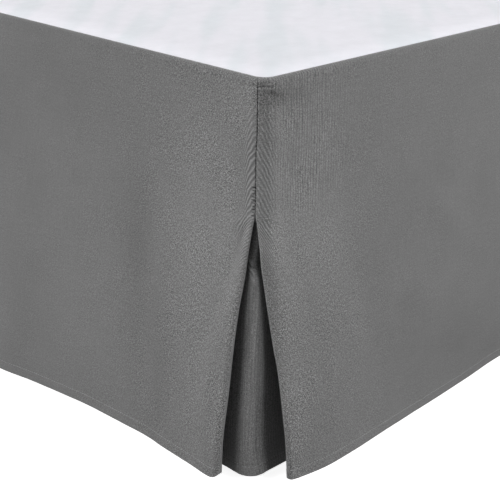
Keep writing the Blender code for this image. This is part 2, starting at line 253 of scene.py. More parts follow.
def rounded_outline(inset, steps):
    """Points round the foundation's plan, drawn in by an inset, and the distance round to each."""
    low, high = BASE_LOW + Vector((inset, inset, 0)), BASE_HIGH - Vector((inset, inset, 0))
    radius = BASE_CORNER - inset
    corners = ((high.x, low.y, -90), (high.x, high.y, 0), (low.x, high.y, 90), (low.x, low.y, 180))
    outline = []
    for x, y, first in corners:
        cx = x - math.copysign(radius, x)
        cy = y - math.copysign(radius, y - (BASE_LOW.y + BASE_HIGH.y) / 2)
        for angle in np.radians(np.linspace(first, first + 90, 9)):
            outline.append((cx + radius * math.cos(angle), cy + radius * math.sin(angle)))
    ring = np.array(outline + outline[:1])
    lengths = np.linalg.norm(np.diff(ring, axis=0), axis=1)
    at = np.concatenate(([0.0], np.cumsum(lengths)))
    wanted = np.unique(np.concatenate((np.linspace(0, at[-1], steps), at)))[:-1]
    return np.column_stack([np.interp(wanted, at, ring[:, k]) for k in (0, 1)]), wanted


def foundation():
    """The border as a loft between the two welts, closed by a flat top and bottom."""
    height = BASE_HIGH.z - BASE_LOW.z
    low_edge = [(COVER_INSET, COVER_RISE, 0.0), (WELT_SEAT_INSET, WELT_SEAT_RISE, 0.0)]
    border = [(BORDER_INSET - BORDER_CROWN * math.sin(math.pi * t),
               BORDER_START + t * (height - 2 * BORDER_START), math.sin(math.pi * t))
              for t in np.linspace(0, 1, BORDER_ROWS)]
    profile = low_edge + border + [(inset, height - up, 0.0) for inset, up, _ in low_edge[::-1]]
    centre = np.array([0.0, (BASE_LOW.y + BASE_HIGH.y) / 2])
    points, places = [], []
    for inset, up, loose in profile:
        ring, at = rounded_outline(inset, BORDER_STEPS)
        uneven = swelling(at, np.full_like(at, up), BORDER_SWELL, 3, loose)
        outward = ring - centre
        outward /= np.linalg.norm(outward, axis=1)[:, None]
        ring = ring + outward * uneven[:, None]
        points += [(x, y, BASE_LOW.z + up) for x, y in ring]
        places += [(a, up) for a in at]
    count = len(points) // len(profile)
    faces = []
    for row in range(len(profile) - 1):
        for i in range(count):
            j = (i + 1) % count
            faces.append((row * count + i, row * count + j, (row + 1) * count + j,
                          (row + 1) * count + i))
    faces.append(tuple(range(count))[::-1])
    faces.append(tuple(range((len(profile) - 1) * count, len(profile) * count)))
    return made_mesh("foundation_ticking", points, faces, places, TICKING)


base = foundation()
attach(base, "root")
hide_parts("foundation")


def geometry_tree(name, **inputs):
    """An empty Geometry Nodes tree with named number inputs: the tree, its inputs and its end."""
    tree = bpy.data.node_groups.new(name, "GeometryNodeTree")
    tree.interface.new_socket("Geometry", in_out="INPUT", socket_type="NodeSocketGeometry")
    tree.interface.new_socket("Geometry", in_out="OUTPUT", socket_type="NodeSocketGeometry")
    for label, default in inputs.items():
        kind = "NodeSocketInt" if isinstance(default, int) else "NodeSocketFloat"
        socket = tree.interface.new_socket(label, in_out="INPUT", socket_type=kind)
        socket.default_value = default
    given = tree.nodes.new("NodeGroupInput").outputs
    return tree, given, tree.nodes.new("NodeGroupOutput").inputs["Geometry"]


def finish_tree(tree, geometry, material, end):
    """Realize what a tree made, shade it smooth, give it its material and pass it out."""
    real = add(tree, "GeometryNodeRealizeInstances", {"Geometry": geometry}).outputs[0]
    smooth = add(tree, "GeometryNodeSetShadeSmooth", {"Geometry": real}).outputs[0]
    dressed = add(tree, "GeometryNodeSetMaterial", {"Geometry": smooth, "Material": material})
    tree.links.new(dressed.outputs[0], end)


def grown(name, tree, guide, **values):
    """Run a tree on a guide object and keep the result as a plain mesh object."""
    modifier = guide.modifiers.new(name, "NODES")
    modifier.node_group = tree
    sockets = {item.name: item.identifier for item in tree.interface.items_tree
               if item.in_out == "INPUT"}
    for label, value in values.items():
        modifier[sockets[label]] = value
    graph = bpy.context.evaluated_depsgraph_get()
    data = bpy.data.meshes.new_from_object(guide.evaluated_get(graph))
    data.name = name
    bpy.data.objects.remove(guide)
    return placed(name, data)


def guide_curve(name, lines, closed=False):
    """A curve object of straight-run splines through lists of points."""
    curve = bpy.data.curves.new(name, "CURVE")
    curve.dimensions = "3D"
    for line in lines:
        spline = curve.splines.new("POLY")
        spline.points.add(len(line) - 1)
        for point, place in zip(spline.points, line):
            point.co = (*place, 1.0)
        spline.use_cyclic_u = closed
    return placed(name, curve)


def welt_tree():
    """Sweep a round cord along each line and keep its own place on the cloth as a UV map."""
    tree, given, end = geometry_tree("corded_welt", Radius=WELT_RADIUS)
    along = add(tree, "GeometryNodeSplineParameter").outputs["Length"]
    kept = add(tree, "GeometryNodeStoreNamedAttribute", {"Geometry": given["Geometry"],
               "Name": "along", "Value": along}, data_type="FLOAT", domain="POINT").outputs[0]
    ring = add(tree, "GeometryNodeCurvePrimitiveCircle",
               {"Resolution": 10, "Radius": given["Radius"]}, mode="RADIUS").outputs[0]
    around = add(tree, "GeometryNodeSplineParameter").outputs["Length"]
    ring = add(tree, "GeometryNodeStoreNamedAttribute", {"Geometry": ring, "Name": "around",
               "Value": around}, data_type="FLOAT", domain="POINT").outputs[0]
    cord = add(tree, "GeometryNodeCurveToMesh", {"Curve": kept, "Profile Curve": ring}).outputs[0]
    x = add(tree, "GeometryNodeInputNamedAttribute", {"Name": "along"}, data_type="FLOAT")
    y = add(tree, "GeometryNodeInputNamedAttribute", {"Name": "around"}, data_type="FLOAT")
    place = add(tree, "ShaderNodeCombineXYZ", {0: x.outputs[0], 1: y.outputs[0]}).outputs[0]
    mapped = add(tree, "GeometryNodeStoreNamedAttribute", {"Geometry": cord, "Name": "cloth",
                 "Value": place}, data_type="FLOAT2", domain="CORNER").outputs[0]
    finish_tree(tree, mapped, TICKING, end)
    return tree


welt_outline, _ = rounded_outline(WELT_RADIUS, BORDER_STEPS)
welt_lines = [[(x, y, z) for x, y in welt_outline]
              for z in (BASE_LOW.z + WELT_RADIUS, BASE_HIGH.z - WELT_RADIUS)]
welts = grown("foundation_welts", welt_tree(), guide_curve("welt_lines", welt_lines, closed=True))
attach(welts, "root")


# ---- legs
# The real legs are turned from beech, stained dark, and screwed into the foundation's frame.
# Each has a flat collar at the top, tapers down, and stands on a small rounded foot.

LEG_LOW, LEG_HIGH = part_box("leg_foot_left")
LEG_FAR_LOW, LEG_FAR_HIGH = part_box("leg_head_right")
LEG_TOP_RADIUS = (LEG_HIGH.x - LEG_LOW.x) / 2
LEG_FOOT_RADIUS = 0.022
LEG_HEIGHT = LEG_HIGH.z
LEG_DARK = (0.030, 0.016, 0.010)
LEG_LIGHT = (0.085, 0.046, 0.026)
LEG_PORE = (0.015, 0.008, 0.005)

# The turned outline of a leg: its share of the taper's width at each share of its height
LEG_ENDS = (0.80, 0.985)
LEG_OUTLINE = ((0.012, 0.93), (0.03, 1.0), (0.20, 1.0), (0.86, 1.0), (0.885, 0.93),
               (0.905, 0.93), (0.925, 1.0), (0.985, 1.0))


def dark_beech():
    """Stained beech: fine grain along the leg, short pores, and a satin lacquer."""
    material, tree, shader = bare_material("dark_beech", 0.42)
    shader.inputs["Specular IOR Level"].default_value = 0.5
    shader.inputs["Coat Weight"].default_value = 0.25
    shader.inputs["Coat Roughness"].default_value = 0.3
    place = add(tree, "ShaderNodeTexCoord").outputs["Object"]
    turned = add(tree, "ShaderNodeMapping", {"Vector": place, "Scale": (1.0, 1.0, 0.06)})
    grain = add(tree, "ShaderNodeTexNoise", {"Vector": turned.outputs[0], "Scale": 260.0,
                "Detail": 4.0, "Roughness": 0.6, "Distortion": 0.4}).outputs["Fac"]
    pores = add(tree, "ShaderNodeTexNoise", {"Vector": turned.outputs[0], "Scale": 1100.0,
                "Detail": 1.0}).outputs["Fac"]
    pores = eased(tree, pores, 0.60, 0.72)
    colour = mixed(tree, "RGBA", eased(tree, grain, 0.32, 0.70), LEG_DARK, LEG_LIGHT)
    colour = mixed(tree, "RGBA", calc(tree, "MULTIPLY", pores, 0.5), colour, LEG_PORE)
    tree.links.new(colour, shader.inputs["Base Color"])
    tree.links.new(calc(tree, "MULTIPLY_ADD", grain, 0.18, 0.34), shader.inputs["Roughness"])
    raised(tree, shader, calc(tree, "MULTIPLY", pores, -0.00008))
    return material


def leg_tree():
    """Turn one leg from its outline and stand a copy at each point of the guide."""
    tree, given, end = geometry_tree("turned_leg", Height=LEG_HEIGHT, Top=LEG_TOP_RADIUS,
                                     Foot=LEG_FOOT_RADIUS, Sides=40)
    top = add(tree, "ShaderNodeCombineXYZ", {2: given["Height"]}).outputs[0]
    axis = add(tree, "GeometryNodeCurvePrimitiveLine", {"Start": (0, 0, 0), "End": top}).outputs[0]
    axis = add(tree, "GeometryNodeResampleCurve", {"Curve": axis, "Count": 90}).outputs[0]
    up = add(tree, "GeometryNodeSplineParameter").outputs["Factor"]
    taper = add(tree, "ShaderNodeMapRange", {"Value": up, "To Min": given["Foot"],
                "To Max": given["Top"]}).outputs[0]
    outline = add(tree, "ShaderNodeFloatCurve", {"Factor": 1.0, "Value": up})
    turning = outline.mapping.curves[0].points
    turning[0].location = (0.0, LEG_ENDS[0])
    turning[1].location = (1.0, LEG_ENDS[1])
    for height, share in LEG_OUTLINE:
        turning.new(height, share)
    for point in turning:
        point.handle_type = "VECTOR"
    outline.mapping.update()
    radius = calc(tree, "MULTIPLY", taper, outline.outputs[0])
    ring = add(tree, "GeometryNodeCurvePrimitiveCircle",
               {"Resolution": given["Sides"], "Radius": 1.0}, mode="RADIUS").outputs[0]
    leg = add(tree, "GeometryNodeCurveToMesh", {"Curve": axis, "Profile Curve": ring,
              "Scale": radius, "Fill Caps": True}).outputs[0]
    stood = add(tree, "GeometryNodeInstanceOnPoints", {"Points": given["Geometry"],
                "Instance": leg}).outputs[0]
    finish_tree(tree, stood, dark_beech(), end)
    return tree


leg_x = (LEG_LOW.x + LEG_HIGH.x) / 2
leg_rows = np.linspace((LEG_LOW.y + LEG_HIGH.y) / 2, (LEG_FAR_LOW.y + LEG_FAR_HIGH.y) / 2, 3)
leg_places = bpy.data.meshes.new("leg_places")
leg_places.from_pydata([(side * leg_x, y, 0.0) for side in (1, -1) for y in leg_rows], [], [])
legs = grown("legs", leg_tree(), placed("leg_places", leg_places))
legs.data.set_sharp_from_angle(angle=math.radians(35))
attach(legs, "root")
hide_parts(*[f"leg_{end}_{side}" for side in ("right", "left")
                    for end in ("foot", "middle", "head")])


# ---- deck cloth
# The real deck is one plain piece of white sheeting that lies on the foundation under the
# mattress. Its foot and sides are sewn to the drops, and its head edge has a narrow hem.

_, DECK_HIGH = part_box("deck")
DECK_TOP = DECK_HIGH.z
BED_WIDTH, BED_LENGTH = 1.524, 2.032
FOOT_Y = DECK_HIGH.y - BED_LENGTH
DECK_CORNER = 0.010
DECK_STEP = 0.013
SHEETING = 0.0009
SHEETING_YARN, SHEETING_SLUB, SHEETING_MOTTLE = 0.0006, 0.008, 0.020
# Patches of painted shade, cooler and darker, near the foot corners: their size, how far out they
# are full, from where the deck is plain, and the share of light on the plain deck
PATCH_SIZE = (0.042, 0.36)
PATCHED_TO, PLAIN_FROM, PLAIN_LIT_SHARE = 0.35, 0.70, 0.75
PALE_EDGE, PALE_EDGE_SWING = 0.040, 0.09
# The sheeting in full painted shade, and unshaded
SHEETING_SHADE = (0.722, 0.748, 0.788)
SHEETING_LIT = (0.795, 0.788, 0.840)
SHEETING_THREAD = (0.75, 0.76, 0.78)
HEM = 0.0105
HEM_ALLOWANCE = 0.0120
STITCH_PITCH = 0.0031
DECK_STITCH_RAISE = 0.0001

# How the deck lies: fuller away from its edges, which settle over a short way and turn down
DECK_FULLNESS = 0.0013
DECK_SETTLES_OVER = 0.07
DECK_EDGE_DIP, DECK_EDGE_REACH = 0.0007, 0.0012
DECK_SWELL = Swell(0.0005, 0.21, 0.30)
DECK_STREAK, DECK_FINE_STREAK = Swell(0.0004, 0.06, 0.28), Swell(0.00012, 0.021, 0.10)
DECK_HEM_RISE = 0.0006
DECK_STITCH_DRAW, DECK_STITCH_WIDTH = 0.0003, 0.0006


def white_sheeting():
    """Plain white cotton sheeting, with cool painted shade in patches out from the foot corners."""
    material, tree, shader = bare_material("white_sheeting", 0.9, sheen=0.08)
    place = add(tree, "ShaderNodeUVMap", uv_map="cloth").outputs[0]
    weave = weave_of(tree, place, SHEETING_YARN, SHEETING_SLUB, SHEETING_SLUB, SHEETING_MOTTLE)
    spot = add(tree, "ShaderNodeSeparateXYZ", {0: place}).outputs
    sideways = calc(tree, "ABSOLUTE", spot[0])
    # Painted shade in patches drawn out from the foot corners, fading to the plain deck further out
    patch = streaks(tree, calc(tree, "ADD", sideways, spot[1]),
                    calc(tree, "SUBTRACT", sideways, spot[1]), *PATCH_SIZE, 1.5)
    from_side = calc(tree, "SUBTRACT", BED_WIDTH / 2, sideways)
    from_corner = calc(tree, "SQRT", calc(tree, "MULTIPLY_ADD", from_side, from_side,
                                          calc(tree, "MULTIPLY", spot[1], spot[1])))
    lit_share = mixed(tree, "FLOAT", eased(tree, from_corner, PLAIN_FROM, PATCHED_TO), PLAIN_LIT_SHARE,
                   eased(tree, patch, 0.24, 0.60))
    colour = mixed(tree, "RGBA", lit_share, SHEETING_SHADE, SHEETING_LIT)
    edge = eased(tree, calc(tree, "MINIMUM", from_side, spot[1]), PALE_EDGE, 0.0)
    colour = shaded(tree, colour, (weave["Tone"], 0.02), (weave["Mottle"], 0.05),
                    (calc(tree, "MULTIPLY_ADD", edge, 0.5, 0.5), PALE_EDGE_SWING))
    tree.links.new(colour, shader.inputs["Base Color"])
    raised(tree, shader, calc(tree, "MULTIPLY", weave["Weave"], 0.00006))
    return material


def thread(name, colour, sheen=0.2):
    """Polyester sewing thread, twisted; the more sheen it has, the smoother it is."""
    material, tree, shader = bare_material(name, 0.75 - sheen, sheen=sheen)
    place = add(tree, "ShaderNodeTexCoord").outputs["Object"]
    twist = add(tree, "ShaderNodeTexNoise", {"Vector": place, "Scale": 2600.0, "Detail": 1.0})
    tree.links.new(shaded(tree, colour, (twist.outputs["Fac"], 0.20)), shader.inputs["Base Color"])
    raised(tree, shader, calc(tree, "MULTIPLY", twist.outputs["Fac"], 0.00006))
    return material


def stitch_tree():
    """Set small rounded stitches along each guide line, one a pitch, each a little uneven."""
    tree, given, end = geometry_tree("sewn_stitches", Pitch=STITCH_PITCH, Length=0.0024,
                                     Thickness=0.00060, Seed=7)
    tree.interface.new_socket("Thread", in_out="INPUT", socket_type="NodeSocketMaterial")
    points = add(tree, "GeometryNodeCurveToPoints", {"Curve": given["Geometry"],
                 "Length": given["Pitch"]}, mode="LENGTH").outputs
    bead = add(tree, "GeometryNodeMeshUVSphere", {"Segments": 6, "Rings": 4, "Radius": 0.5})
    size = add(tree, "FunctionNodeRandomValue", {2: 0.72, 3: 1.15, "Seed": given["Seed"]},
               data_type="FLOAT").outputs[1]
    thick = calc(tree, "MULTIPLY", given["Thickness"], size)
    scale = add(tree, "ShaderNodeCombineXYZ", {0: thick, 1: thick, 2: calc(
        tree, "MULTIPLY", given["Length"], size)}).outputs[0]
    laid = add(tree, "GeometryNodeInstanceOnPoints", {"Points": points["Points"],
               "Instance": bead.outputs["Mesh"], "Rotation": points["Rotation"],
               "Scale": scale}).outputs[0]
    finish_tree(tree, laid, given["Thread"], end)
    return tree


STITCHES = stitch_tree()


def sewn(name, lines, colour_thread, **sizes):
    """Stitches along lines, in a thread."""
    return grown(name, STITCHES, guide_curve("stitch_lines", lines), Thread=colour_thread, **sizes)


def edge_spaced(length, step, near, far):
    """Places from 0 to a length, a step apart, with extra ones close to both edges."""
    middle = np.linspace(near[-1], length - far[-1], max(2, round(length / step)))
    return np.concatenate((near[:-1], middle, length - np.array(far[-2::-1])))


def grid_faces(rows, columns, first=0, turned=False):
    """Quads over a grid of points numbered row by row."""
    number = first + np.arange(rows * columns).reshape(rows, columns)
    quads = np.stack((number[:-1, :-1], number[:-1, 1:], number[1:, 1:], number[1:, :-1]), axis=-1)
    quads = quads.reshape(-1, 4)
    return quads[:, ::-1] if turned else quads


def smooth(value):
    """0 below 0, 1 above 1, eased in between."""
    clipped = np.clip(value, 0, 1)
    return clipped * clipped * (3 - 2 * clipped)


def hill(distance, width):
    """A smooth bump of height 1 at distance 0."""
    return np.exp(-(distance / width) ** 2)


def turned_in(from_edge):
    """1 where a hem's allowance lies folded in behind an edge, 0 further in."""
    return smooth((HEM_ALLOWANCE + 0.0004 - from_edge) / 0.0008)


def deck_surface(x, y):
    """The height of the deck's top over the bed, waved and hemmed at the head."""
    from_edge = np.minimum(BED_WIDTH / 2 - np.abs(x), np.minimum(y, BED_LENGTH - y))
    settled = np.clip(from_edge / DECK_SETTLES_OVER, 0, 1) ** 0.75
    inward, aslant = np.abs(x) + y, np.abs(x) - y
    waves = swelling(x, y, DECK_SWELL, 11)
    waves += swelling(inward, aslant, DECK_STREAK, 12)
    waves += swelling(inward, aslant, DECK_FINE_STREAK, 13)
    from_head = BED_LENGTH - y
    hem = DECK_HEM_RISE * turned_in(from_head)
    hem -= DECK_STITCH_DRAW * hill(from_head - HEM, DECK_STITCH_WIDTH)
    edge = DECK_EDGE_DIP * np.exp(-from_edge / DECK_EDGE_REACH)
    return DECK_TOP + settled * (waves + DECK_FULLNESS) + hem - edge


def deck_cloth():
    """A fine grid over the deck, its foot corners rounded, closed underneath."""
    sides = (0.0, 0.0008, 0.0018, 0.0035, 0.0065, DECK_CORNER)
    head = (0.0, 0.0010, 0.0030, 0.0060, 0.0090, 0.0098, 0.0105, 0.0112, 0.0119, 0.0126)
    across = edge_spaced(BED_WIDTH, DECK_STEP, sides, sides) - BED_WIDTH / 2
    down = edge_spaced(BED_LENGTH, DECK_STEP, sides, head)
    x, y = np.meshgrid(across, down)
    inner_x = np.maximum(np.abs(x) - (BED_WIDTH / 2 - DECK_CORNER), 0)
    inner_y = np.maximum(DECK_CORNER - y, 0)
    reach = np.hypot(inner_x, inner_y)
    shrink = np.where(reach > 0, np.maximum(inner_x, inner_y) / np.maximum(reach, 1e-9), 1.0)
    x = np.where(inner_y > 0, np.sign(x) * (np.abs(x) - inner_x * (1 - shrink)), x)
    y = np.where(inner_x > 0, y + inner_y * (1 - shrink), y)
    upper = np.stack((x, FOOT_Y + y, deck_surface(x, y)), axis=-1).reshape(-1, 3)
    lower = upper - (0, 0, SHEETING)
    rows, columns = x.shape
    total = rows * columns
    number = np.arange(total).reshape(rows, columns)
    rim = np.concatenate((number[0], number[1:, -1], number[-1, -2::-1], number[-2:0:-1, 0]))
    walls = [(a, a + total, b + total, b) for a, b in zip(rim, np.roll(rim, -1))]
    faces = grid_faces(rows, columns).tolist() + grid_faces(rows, columns, total, True).tolist()
    faces += [tuple(int(i) for i in wall) for wall in walls]
    places = np.tile(np.column_stack((x.ravel(), y.ravel())), (2, 1))
    return made_mesh("deck_sheeting", np.vstack((upper, lower)), faces, places, white_sheeting())


deck = deck_cloth()
head_x = np.linspace(-BED_WIDTH / 2 + 0.004, BED_WIDTH / 2 - 0.004, 120)
head_y = np.full_like(head_x, BED_LENGTH - HEM)
head_hem = np.column_stack((head_x, FOOT_Y + head_y, deck_surface(head_x, head_y)
                            + DECK_STITCH_RAISE))
deck_stitches = sewn("deck_hem_stitches", [head_hem], thread("white_thread", SHEETING_THREAD))
for piece in (deck, deck_stitches):
    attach(piece, "root")
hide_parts("deck")


# ---- drops
# The real drops are brushed charcoal twill, one cloth across the foot and one down each side.
# Each is sewn to the deck's edge, turned up and top-stitched at the hem, and folded back behind
# a corner pleat. The folds are sewn together down the top third of the corner.

DROP = 0.381
TWILL = 0.0007
HEM_FOLD = 0.0009
RETURN_LENGTH = 0.080
RETURN_BEHIND = 0.0029
RETURN_CLEARANCE = 0.0016
LEFT_OPENING = 0.85
CHARCOAL = (0.183, 0.183, 0.183)
THREAD_GREY = (0.34, 0.34, 0.34)
SEAM_GREY = (0.030, 0.030, 0.030)

# The cloth rolls a little squarely over the deck's edge, and its first row is tucked in
ROLL = 0.006
ROLL_TUCK = 0.0006
ROUND, ROLL_SQUARENESS, SEAM_SQUARENESS = 2, 3.2, 7

# The corner seam, the folds it holds together, and how far down its top is drawn shut
SEAM_LENGTH = 0.125
SEAM_FOLD = 0.00085
SEAM_GAP = 0.00015
SEAM_DRAW = 0.0002
SEAM_SHUT = 0.0080

# How proud or sunk the stitches sit. The short cross stitches climb from the seam's lower end,
# and run round the corner between two turns, in degrees from the seam.
STITCH_RAISE = 0.00008
SEAM_STITCH_SUNK = 0.0006
TACKS_START, TACKS_STOP, TACK_PITCH = 0.0295, 0.0020, 0.0029
TACK_TURNS = (7, 12)

# Along a drop: how far it hangs as it does by a pleat, and from where as it does far from one,
# where its folded end meets its run, and how the run's stations widen
NEAR_REACH, FAR_REACH = 0.062, 0.220
LEAD_END, RUN_START = NEAR_REACH + 0.002, NEAR_REACH + 0.004
RUN_STEP, RUN_WIDEST_STEP, RUN_GROWTH = 0.0030, 0.0125, 1.03
CURL_HANDLE = 0.36

# How far the hem's lower edge bulges, and how far its rise at a fold reaches across and up
EDGE_BULGE = 0.0004
RISE_ACROSS, RISE_UP = 0.0065, 0.030

# How far the hem hangs out from the deck's edge: across the foot from the right corner, and
# down each side from the foot corner
Hem = namedtuple("Hem", "along out")
FOOT_HEM = [
    Hem(0.000, 0.0405), Hem(0.075, 0.0395), Hem(0.125, 0.0383), Hem(0.170, 0.0397),
    Hem(0.215, 0.0423), Hem(0.260, 0.0480), Hem(0.307, 0.0550), Hem(0.353, 0.0638),
    Hem(0.460, 0.0720), Hem(0.700, 0.0600), Hem(0.950, 0.0470), Hem(1.180, 0.0530),
    Hem(1.340, 0.0430), Hem(1.450, 0.0370), Hem(1.524, 0.0370),
]
RIGHT_HEM = [
    Hem(0.000, 0.0300), Hem(0.060, 0.0340), Hem(0.087, 0.0330), Hem(0.135, 0.0297),
    Hem(0.190, 0.0257), Hem(0.240, 0.0226), Hem(0.300, 0.0180), Hem(0.354, 0.0130),
    Hem(0.450, 0.0110), Hem(0.700, 0.0220), Hem(0.980, 0.0300), Hem(1.280, 0.0180),
    Hem(1.580, 0.0270), Hem(1.830, 0.0200), Hem(2.032, 0.0160),
]
LEFT_HEM = [
    Hem(0.000, 0.0280), Hem(0.070, 0.0310), Hem(0.160, 0.0270), Hem(0.320, 0.0220),
    Hem(0.560, 0.0340), Hem(0.860, 0.0200), Hem(1.180, 0.0290), Hem(1.480, 0.0170),
    Hem(1.780, 0.0250), Hem(2.032, 0.0180),
]

# The share of the hem's reach that a drop has at each depth, near a pleat and far from one
Fall = namedtuple("Fall", "depth near far")
FALL = [
    Fall(0.000, 0.00, 0.00), Fall(0.060, 0.00, 0.09), Fall(SEAM_LENGTH, 0.00, 0.27),
    Fall(0.185, 0.19, 0.44), Fall(0.243, 0.46, 0.60), Fall(0.290, 0.71, 0.74),
    Fall(0.345, 0.94, 0.90), Fall(DROP, 1.00, 1.00),
]

# One level section of a drop's folded end: where its curl starts, the centre, radius and heading
# (degrees turned in towards the bed) of its fold, and how far out the return behind it hangs
Pleat = namedtuple("Pleat", "depth curl_from fold_along fold_out radius heading back_out")

# How far round the deck's corner a seam runs at each depth, in degrees from the foot
Seam = namedtuple("Seam", "depth wrap")
SEAM = [
    Seam(0.000, 23.3), Seam(0.045, 23.0), Seam(0.063, 19.0), Seam(0.105, 17.3),
    Seam(SEAM_LENGTH, 15.8),
]


def seam_spot(reach, sideways, wrap):
    """A plan place at the seam, from the centre of the arc round the deck's corner."""
    turn = math.radians(wrap)
    return (DECK_CORNER - reach * math.sin(turn) + sideways * math.cos(turn),
            -DECK_CORNER + reach * math.cos(turn) + sideways * math.sin(turn))


def sewn_fold(depth, wrap):
    """A fold closed against the seam."""
    along, out = seam_spot(DECK_CORNER + ROLL - SEAM_FOLD - SEAM_DRAW, SEAM_FOLD + SEAM_GAP, wrap)
    return Pleat(depth, DECK_CORNER, along, out, SEAM_FOLD, wrap, ROLL - RETURN_BEHIND)


FOOT_PLEAT = [
    *(sewn_fold(seam.depth, seam.wrap) for seam in SEAM),
    Pleat(0.1270, 0.0130, 0.0082, 0.0049, 0.0010, 15.5, 0.0034),
    Pleat(0.1370, 0.0180, 0.0098, 0.0066, 0.0014, 14, 0.0044),
    Pleat(0.1580, 0.0260, 0.0117, 0.0100, 0.0020, 13, 0.0062),
    Pleat(0.1800, 0.0320, 0.0139, 0.0128, 0.0026, 12, 0.0090),
    Pleat(0.2110, 0.0420, 0.0176, 0.0175, 0.0032, 10, 0.0121),
    Pleat(0.2430, 0.0540, 0.0195, 0.0225, 0.0038, 8, 0.0150),
    Pleat(0.2900, 0.0600, 0.0224, 0.0274, 0.0044, 5, 0.0172),
    Pleat(0.3490, 0.0600, 0.0256, 0.0342, 0.0050, 4, 0.0206),
    Pleat(DROP, 0.0620, 0.0275, 0.0350, 0.0056, 8, 0.0212),
]
SIDE_PLEAT = [
    *(sewn_fold(seam.depth, 90 - seam.wrap) for seam in SEAM),
    Pleat(0.1270, 0.0130, -0.0030, -0.0048, 0.0010, 74, 0.0034),
    Pleat(0.1370, 0.0180, -0.0022, -0.0034, 0.0013, 71, 0.0035),
    Pleat(0.1570, 0.0250, -0.0028, 0.0014, 0.0020, 65, 0.0036),
    Pleat(0.1890, 0.0350, 0.0007, 0.0037, 0.0025, 55, 0.0042),
    Pleat(0.2410, 0.0500, 0.0065, 0.0089, 0.0030, 42, 0.0055),
    Pleat(0.2760, 0.0560, 0.0095, 0.0147, 0.0034, 32, 0.0070),
    Pleat(0.3040, 0.0600, 0.0097, 0.0195, 0.0036, 24, 0.0085),
    Pleat(0.3430, 0.0600, 0.0118, 0.0231, 0.0038, 15, 0.0100),
    Pleat(DROP, 0.0600, 0.0130, 0.0245, 0.0038, 10, 0.0110),
]

# The insert behind a pleat: how far out its foot and side wings hang, its corner's radius, and how
# far the side wing is nipped in beside the corner
Insert = namedtuple("Insert", "depth foot_out side_out corner nip")
INSERT_TOP = ROLL - RETURN_BEHIND - 0.0004
NIP_REACH = 0.028
INSERT = [
    Insert(0.000, INSERT_TOP, INSERT_TOP, 0.0150, 0.0000),
    Insert(SEAM_LENGTH, INSERT_TOP, INSERT_TOP, 0.0110, 0.0040),
    Insert(0.146, 0.0042, 0.0009, 0.0070, 0.0068),
    Insert(0.160, 0.0057, 0.0001, 0.0058, 0.0070),
    Insert(0.170, 0.0069, -0.0005, 0.0052, 0.0058),
    Insert(0.176, 0.0075, -0.0007, 0.0048, 0.0024),
    Insert(0.184, 0.0083, -0.0010, 0.0045, 0.0005),
    Insert(0.215, 0.0103, -0.0014, 0.0044, 0.0000),
    Insert(0.243, 0.0119, -0.0019, 0.0046, 0.0000),
    Insert(0.290, 0.0142, -0.0028, 0.0054, 0.0000),
    Insert(0.349, 0.0172, -0.0030, 0.0070, 0.0000),
    Insert(DROP, 0.0175, 0.0004, 0.0160, 0.0000),
]

# A soft crease, dent or fold near a sewn corner. from_seam runs along the cloth from the fold,
# depth down from the deck, and lean is the crease's direction in degrees from straight down,
# away from the seam. length and width are half sizes; height is how far it stands out.
Crease = namedtuple("Crease", "from_seam depth lean length width height")
FOOT_CREASES = [
    Crease(0.008, 0.0078, 90, 0.0085, 0.0014, -0.0011),
    Crease(0.024, 0.1350, 69, 0.0220, 0.0045, 0.0011),
    Crease(0.050, 0.2050, -5, 0.0450, 0.0500, 0.0020),
    Crease(0.131, 0.2600, -8, 0.1200, 0.0200, -0.0030),
    Crease(0.100, 0.2500, -8, 0.1100, 0.0160, 0.0010),
    Crease(0.255, 0.2450, -52, 0.0600, 0.0180, 0.0018),
    Crease(0.330, 0.1200, -40, 0.0900, 0.0300, -0.0012),
]
SIDE_CREASES = [
    Crease(0.0040, 0.0076, 90, 0.0075, 0.0010, -0.0012),
    Crease(0.0140, 0.0105, 72, 0.0080, 0.0020, 0.0005),
    Crease(0.0150, 0.0155, 66, 0.0085, 0.0040, -0.0014),
    Crease(0.0340, 0.0210, 84, 0.0230, 0.0090, -0.0006),
    Crease(0.0230, 0.0540, 60, 0.0110, 0.0060, 0.0006),
    Crease(0.0130, 0.0660, 45, 0.0110, 0.0060, -0.0006),
    Crease(0.0400, 0.0840, 50, 0.0140, 0.0080, -0.0006),
    Crease(0.0160, 0.1410, 59, 0.0140, 0.0042, 0.0009),
    Crease(0.0600, 0.1900, 15, 0.0450, 0.0400, 0.0020),
    Crease(0.1200, 0.2300, 10, 0.0700, 0.0200, -0.0013),
    Crease(0.1700, 0.2600, 60, 0.0300, 0.0110, -0.0012),
    Crease(0.2450, 0.3320, 78, 0.0500, 0.0130, -0.0014),
    Crease(0.2500, 0.1750, 42, 0.0500, 0.0150, 0.0012),
]


def read(rows, at):
    """A table's columns at an array of places, joined by monotone cubics, as a named tuple."""
    table = np.array(rows, dtype=float)
    keys, values = table[:, 0], table[:, 1:]
    place = np.clip(np.asarray(at, dtype=float), keys[0], keys[-1])
    step = np.diff(keys)[:, None]
    secant = np.diff(values, axis=0) / step
    same_way = secant[:-1] * secant[1:] > 0
    total = np.where(same_way, secant[:-1] + secant[1:], 1.0)
    slope = np.vstack((secant[:1], np.where(same_way, 2 * secant[:-1] * secant[1:] / total, 0.0),
                       secant[-1:]))
    i = np.clip(np.searchsorted(keys, place, side="right") - 1, 0, len(keys) - 2)
    t = ((place - keys[i]) / step[i, 0])[..., None]
    row = values[i] * (1 + 2 * t) * (1 - t) ** 2 + values[i + 1] * t * t * (3 - 2 * t)
    row = row + step[i] * (slope[i] * t * (1 - t) ** 2 - slope[i + 1] * t * t * (1 - t))
    return type(rows[0])(place, *np.moveaxis(row, -1, 0))


